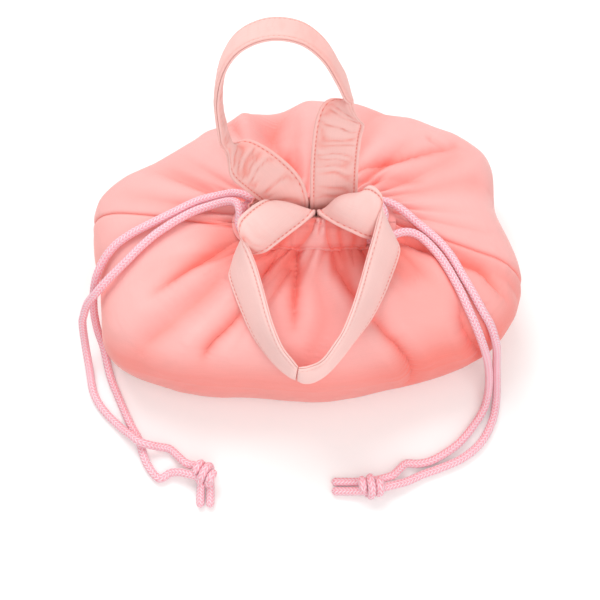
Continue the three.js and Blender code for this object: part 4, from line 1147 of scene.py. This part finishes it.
def strap_layer(line, side, seed, crinkled, puffed):
    """One layer of a strap: its section carried along the line, with creases across it where
    ridged noise of the run peaks, flat at the stitch lines, thinner where it is pinched and
    raised to the middle of its width where it is puffed. side is 1 for the outer layer and -1
    for the facing. Gives points and the values that the cloth reads."""
    across, height = np.concatenate([LAYER_SECTION * [-1, 1], LAYER_SECTION[-2::-1]]).T
    run, pinch, tint = (line[key][:, None] for key in ("run", "pinch", "tint"))
    crinkle, puff = crinkled * line["crinkle"][:, None], puffed * line["puff"][:, None]
    arc = 0.16 * (across / STRAP_HALF_WIDTH) ** 2 * np.sin(run / 23 + seed)
    warp = 1.1 * value_noise(run / 9 + seed, across / 7 + 40, seed + 1)
    ridge = value_noise(run / 2.8 + arc * 4 + warp, across / 18 + 60, seed)
    crease = (1 - np.abs(2 * ridge - 1)) ** 5
    soft = value_noise(run / 16 + 5, across / 18 + 20, seed + 2) - 0.5
    middle = np.clip(1 - (np.abs(across) / STITCH_LINE) ** 6, 0, 1)
    pucker = hump(np.abs(across), PUCKER_LINE, 0.9) * (
        0.5 + 0.5 * np.cos(2 * math.pi * run / STITCH_PITCH))
    high = (height + middle * (0.5 * soft - crinkle * crease)) * pinch - 0.1 * pucker
    high = high + puff * np.clip(1 - (across / STITCH_LINE) ** 2, 0, 1)
    # The folds value is painted shade: in the stitch grooves, along the creases, and, on the outer layer,
    # the line's tint
    groove = hump(np.abs(across), STITCH_LINE, 0.42)
    gap = 0.5 + 0.5 * np.cos(2 * math.pi * (run / STITCH_PITCH + 0.5))
    folds = groove * (0.5 - 0.25 * gap) + np.clip(crinkle, 0, 1) * (0.75 * middle * crease + 0.16)
    folds = np.clip(folds + tint * (side > 0), 0, 1)
    across = np.append(across, UNDERSIDE)
    below = ((0, 0), (0, len(UNDERSIDE)))
    high = np.pad(high, below, constant_values=UNDERSIDE_HEIGHT)
    points = (
        line["centre"][:, None] + across[:, None] * line["span"][:, None]
        + side * high[..., None] * line["out"][:, None])
    cloth = np.stack(np.broadcast_arrays(run, across, 0 * run), axis=-1)
    return points, {"folds": np.pad(folds, below, constant_values=0.5), "cloth": cloth}


def stitch_row(line, side, across):
    """Stitches along a strap: short rods with rounded ends, one to a pitch, each lying on the
    groove between two places of the run."""
    run = line["run"]
    middles = np.arange(STITCH_PITCH, run[-1] - STITCH_PITCH, STITCH_PITCH)
    height = 0.92 * np.interp(middles, run, line["pinch"])[:, None]
    out = unit(read_along(line["out"], run, middles)) * side
    surface = line["centre"] + across * line["span"]
    start, finish = (
        read_along(surface, run, middles + shift * STITCH_LENGTH / 2) for shift in (-1, 1))
    ahead = unit(finish - start)
    middle, out, ahead, beside = (
        k[:, None, None] for k in ((start + finish) / 2 + height * out, out, ahead, np.cross(ahead, out)))
    along, thick = STITCH_SHAPE.T[..., None, None]
    angle = np.arange(STITCH_SIDES)[:, None] / STITCH_SIDES * 2 * math.pi
    bend = -0.35 * (2 * along) ** 2 * STITCH_RADIUS * 2
    points = middle + along * STITCH_LENGTH * ahead + bend * out + thick * STITCH_RADIUS * (
        np.cos(angle) * out + np.sin(angle) * beside)
    faces = capped_grid(points[0])
    return [(rod.reshape(-1, 3), faces) for rod in points]


def sewing_thread():
    """Twisted pink thread: fine slanted strands in its colour and relief."""
    material, tree, shader = cloth_shader("sewing_thread", 0.55, 0.2, 0.4, (1, 0.9, 0.9))
    twist = add_node(tree, "TexWave", "Fac", {
        "Vector": add_node(tree, "TexCoord", "Object"), "Scale": 900, "Distortion": 1.5,
    }, wave_type="BANDS", bands_direction="DIAGONAL")
    set_inputs(tree, shader, {
        "Base Color": colour_ramp(tree, twist, [(0, (0.85, 0.22, 0.18)), (1, (0.93, 0.36, 0.30))]),
        "Normal": bump(tree, twist, 0.4, 0.0001)})
    return material


thread = sewing_thread(), "handle_cloth"


def part_of_line(line, chosen):
    """The same line with only its chosen steps."""
    kept = {key: table[chosen] for key, table in line.items()}
    kept["run"] = kept["run"] - kept["run"][0]
    return kept


def sew_strap(name, line, replaced):
    """Both layers of a strap and its two rows of stitches on each side, as pieces in place that are
    attached to no body."""
    for layer, side, seed, crinkled, puffed in [("outer", 1, 31, 0.2, 0), ("facing", -1, 37, 1, 1)]:
        points, values = strap_layer(line, side, seed, crinkled, puffed)
        piece = make_piece(
            f"{name}_{layer}", points, capped_grid(points), strap_cloth, replaced[layer], values, None)
        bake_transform(piece)
    inside = part_of_line(line, line["stitched"])
    points, faces = joined([
        rod for side in (1, -1) for across in (-STITCH_LINE, STITCH_LINE)
        for rod in stitch_row(inside, side, across)])
    piece = make_piece(f"{name}_stitching", points, faces, thread, body=None)
    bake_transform(piece)


def bumps(row, table):
    """The sum of bell curves along the rows, each with its own place, reach and height."""
    return sum(height * hump(row, place, reach) for place, reach, height in table)


front_exit = np.array([0, -MOUTH_EXIT[0], MOUTH_EXIT[1]])
ahead_of_mouth = np.array([1, -1, 1])
line = strap_line(
    FRONT_STRAP_SHARE[:, :3] * (ahead_of_mouth * STRAP_REACH) + front_exit,
    FRONT_STRAP_SHARE[:, 3:] * ahead_of_mouth, 2, squared=False)
row = line["row"]
line["crinkle"] = 0.12 + 0.75 * (hump(row, 7.5, 1.3) + hump(row, 26.5, 1.6))
line["pinch"] *= 1 - 0.35 * hump(row, CREASE_ROW, 0.22) - 0.12 * hump(row, 19.6, 0.3)
line["puff"] = bumps(row, FRONT_PUFFS)
for end, chosen, sign, first in [
    ("left", row <= CREASE_ROW, -1, 50), ("right", row >= CREASE_ROW - 0.02, 1, 47),
]:
    sew_strap(f"strap_front_{end}", part_of_line(line, chosen), {
        "outer": ["handle_front_outer", f"handle_front_root_{end}"], "facing": ["handle_front_facing"],
    })

lean_up = np.array([0, math.sin(BACK_LEAN), math.cos(BACK_LEAN)])
lean_behind = np.array([0, math.cos(BACK_LEAN), -math.sin(BACK_LEAN)])
leg = BACK_LEG_OFFSET / STRAP_REACH
beside, up, wide, behind, over = np.concatenate([
    [(-leg, 0, 1, 0, 0)], BACK_STRAP_SHARE, [(leg, 0, -1, 0, 0)]]).T[..., None]
line = strap_line(
    [BACK_SHIFT, *MOUTH_EXIT] + beside * STRAP_REACH * [1, 0, 0] + up * STRAP_REACH * lean_up,
    wide * [1, 0, 0] + behind * lean_behind + over * lean_up, 1.5, squared=True)
row = line["row"]
crumple = bumps(row, BACK_TWISTS)
line["span"] *= 1 - crumple[:, None]
# Painted shade over the back strap's outer layer, deepest on the loop's right side
line["tint"] = 0.22 + 0.2 * hump(row, 11.5, 2.2)
line["crinkle"] = 0.8 + 0.5 * (hump(row, 2.4, 1.6) + hump(row, 15, 1.2))
line["puff"] = CRUMPLE_PUFF * crumple
sew_strap("strap_back", line, {
    "outer": ["handle_back_outer", "handle_back_root_left", "handle_back_root_right"],
    "facing": ["handle_back_facing"],
})

# Floor and light
# A plain white table under two large soft lamps in an even white room. To the camera the table
# shines a little, more so farther out, where less of the lamps' light falls.
FLOOR_HALF = 3
floor_mesh = bpy.data.meshes.new("floor")
floor_mesh.from_pydata(
    [(x * FLOOR_HALF, y * FLOOR_HALF, 0) for x, y in [(-1, -1), (1, -1), (1, 1), (-1, 1)]], [],
    [(0, 1, 2, 3)])
floor = bpy.data.objects.new("floor", floor_mesh)
bpy.context.scene.collection.objects.link(floor)
table_top = bpy.data.materials.new("white_table")
table_top.use_nodes = True
floor_mesh.materials.append(table_top)
tree = table_top.node_tree
away = add_node(tree, "VectorMath", "Value", {0: add_node(tree, "TexCoord", "Object")}, operation="LENGTH")
set_inputs(tree, tree.nodes["Principled BSDF"], {
    "Base Color": (0.9, 0.89, 0.88, 1), "Roughness": 0.9, "Emission Color": (1, 0.99, 0.98, 1),
    "Emission Strength": calculate(
        tree, "MULTIPLY", add_node(tree, "LightPath", "Is Camera Ray"),
        mapped(tree, away, 0.16, 0.56, 0.25, 1.1))})

ROOM_LIGHT = 0.55
world = bpy.data.worlds.new("room")
bpy.context.scene.world = world
world.use_nodes = True
room = world.node_tree
set_inputs(room, room.nodes["Background"], {
    "Color": (1, 1, 1, 1),
    "Strength": calculate(
        room, "MULTIPLY_ADD", add_node(room, "LightPath", "Is Camera Ray"), 1 - ROOM_LIGHT, ROOM_LIGHT)})

LAMPS = [("key_lamp", (-0.35, 0.75, 1.25), 0.9, 12), ("fill_lamp", (0.35, -1.0, 1.0), 1.4, 9)]
LAMP_AIM = np.array([0, -0.02, 0.04])
for name, place, size, power in LAMPS:
    lamp = bpy.data.objects.new(name, bpy.data.lights.new(name, "AREA"))
    lamp.data.energy = power
    lamp.data.size = size
    lamp.location = place
    x, y, z = np.array(place) - LAMP_AIM
    lamp.rotation_euler = (math.atan2(math.hypot(x, y), z), 0, math.atan2(x, -y))
    bpy.context.scene.collection.objects.link(lamp)

bpy.context.scene.view_settings.view_transform = "Standard"
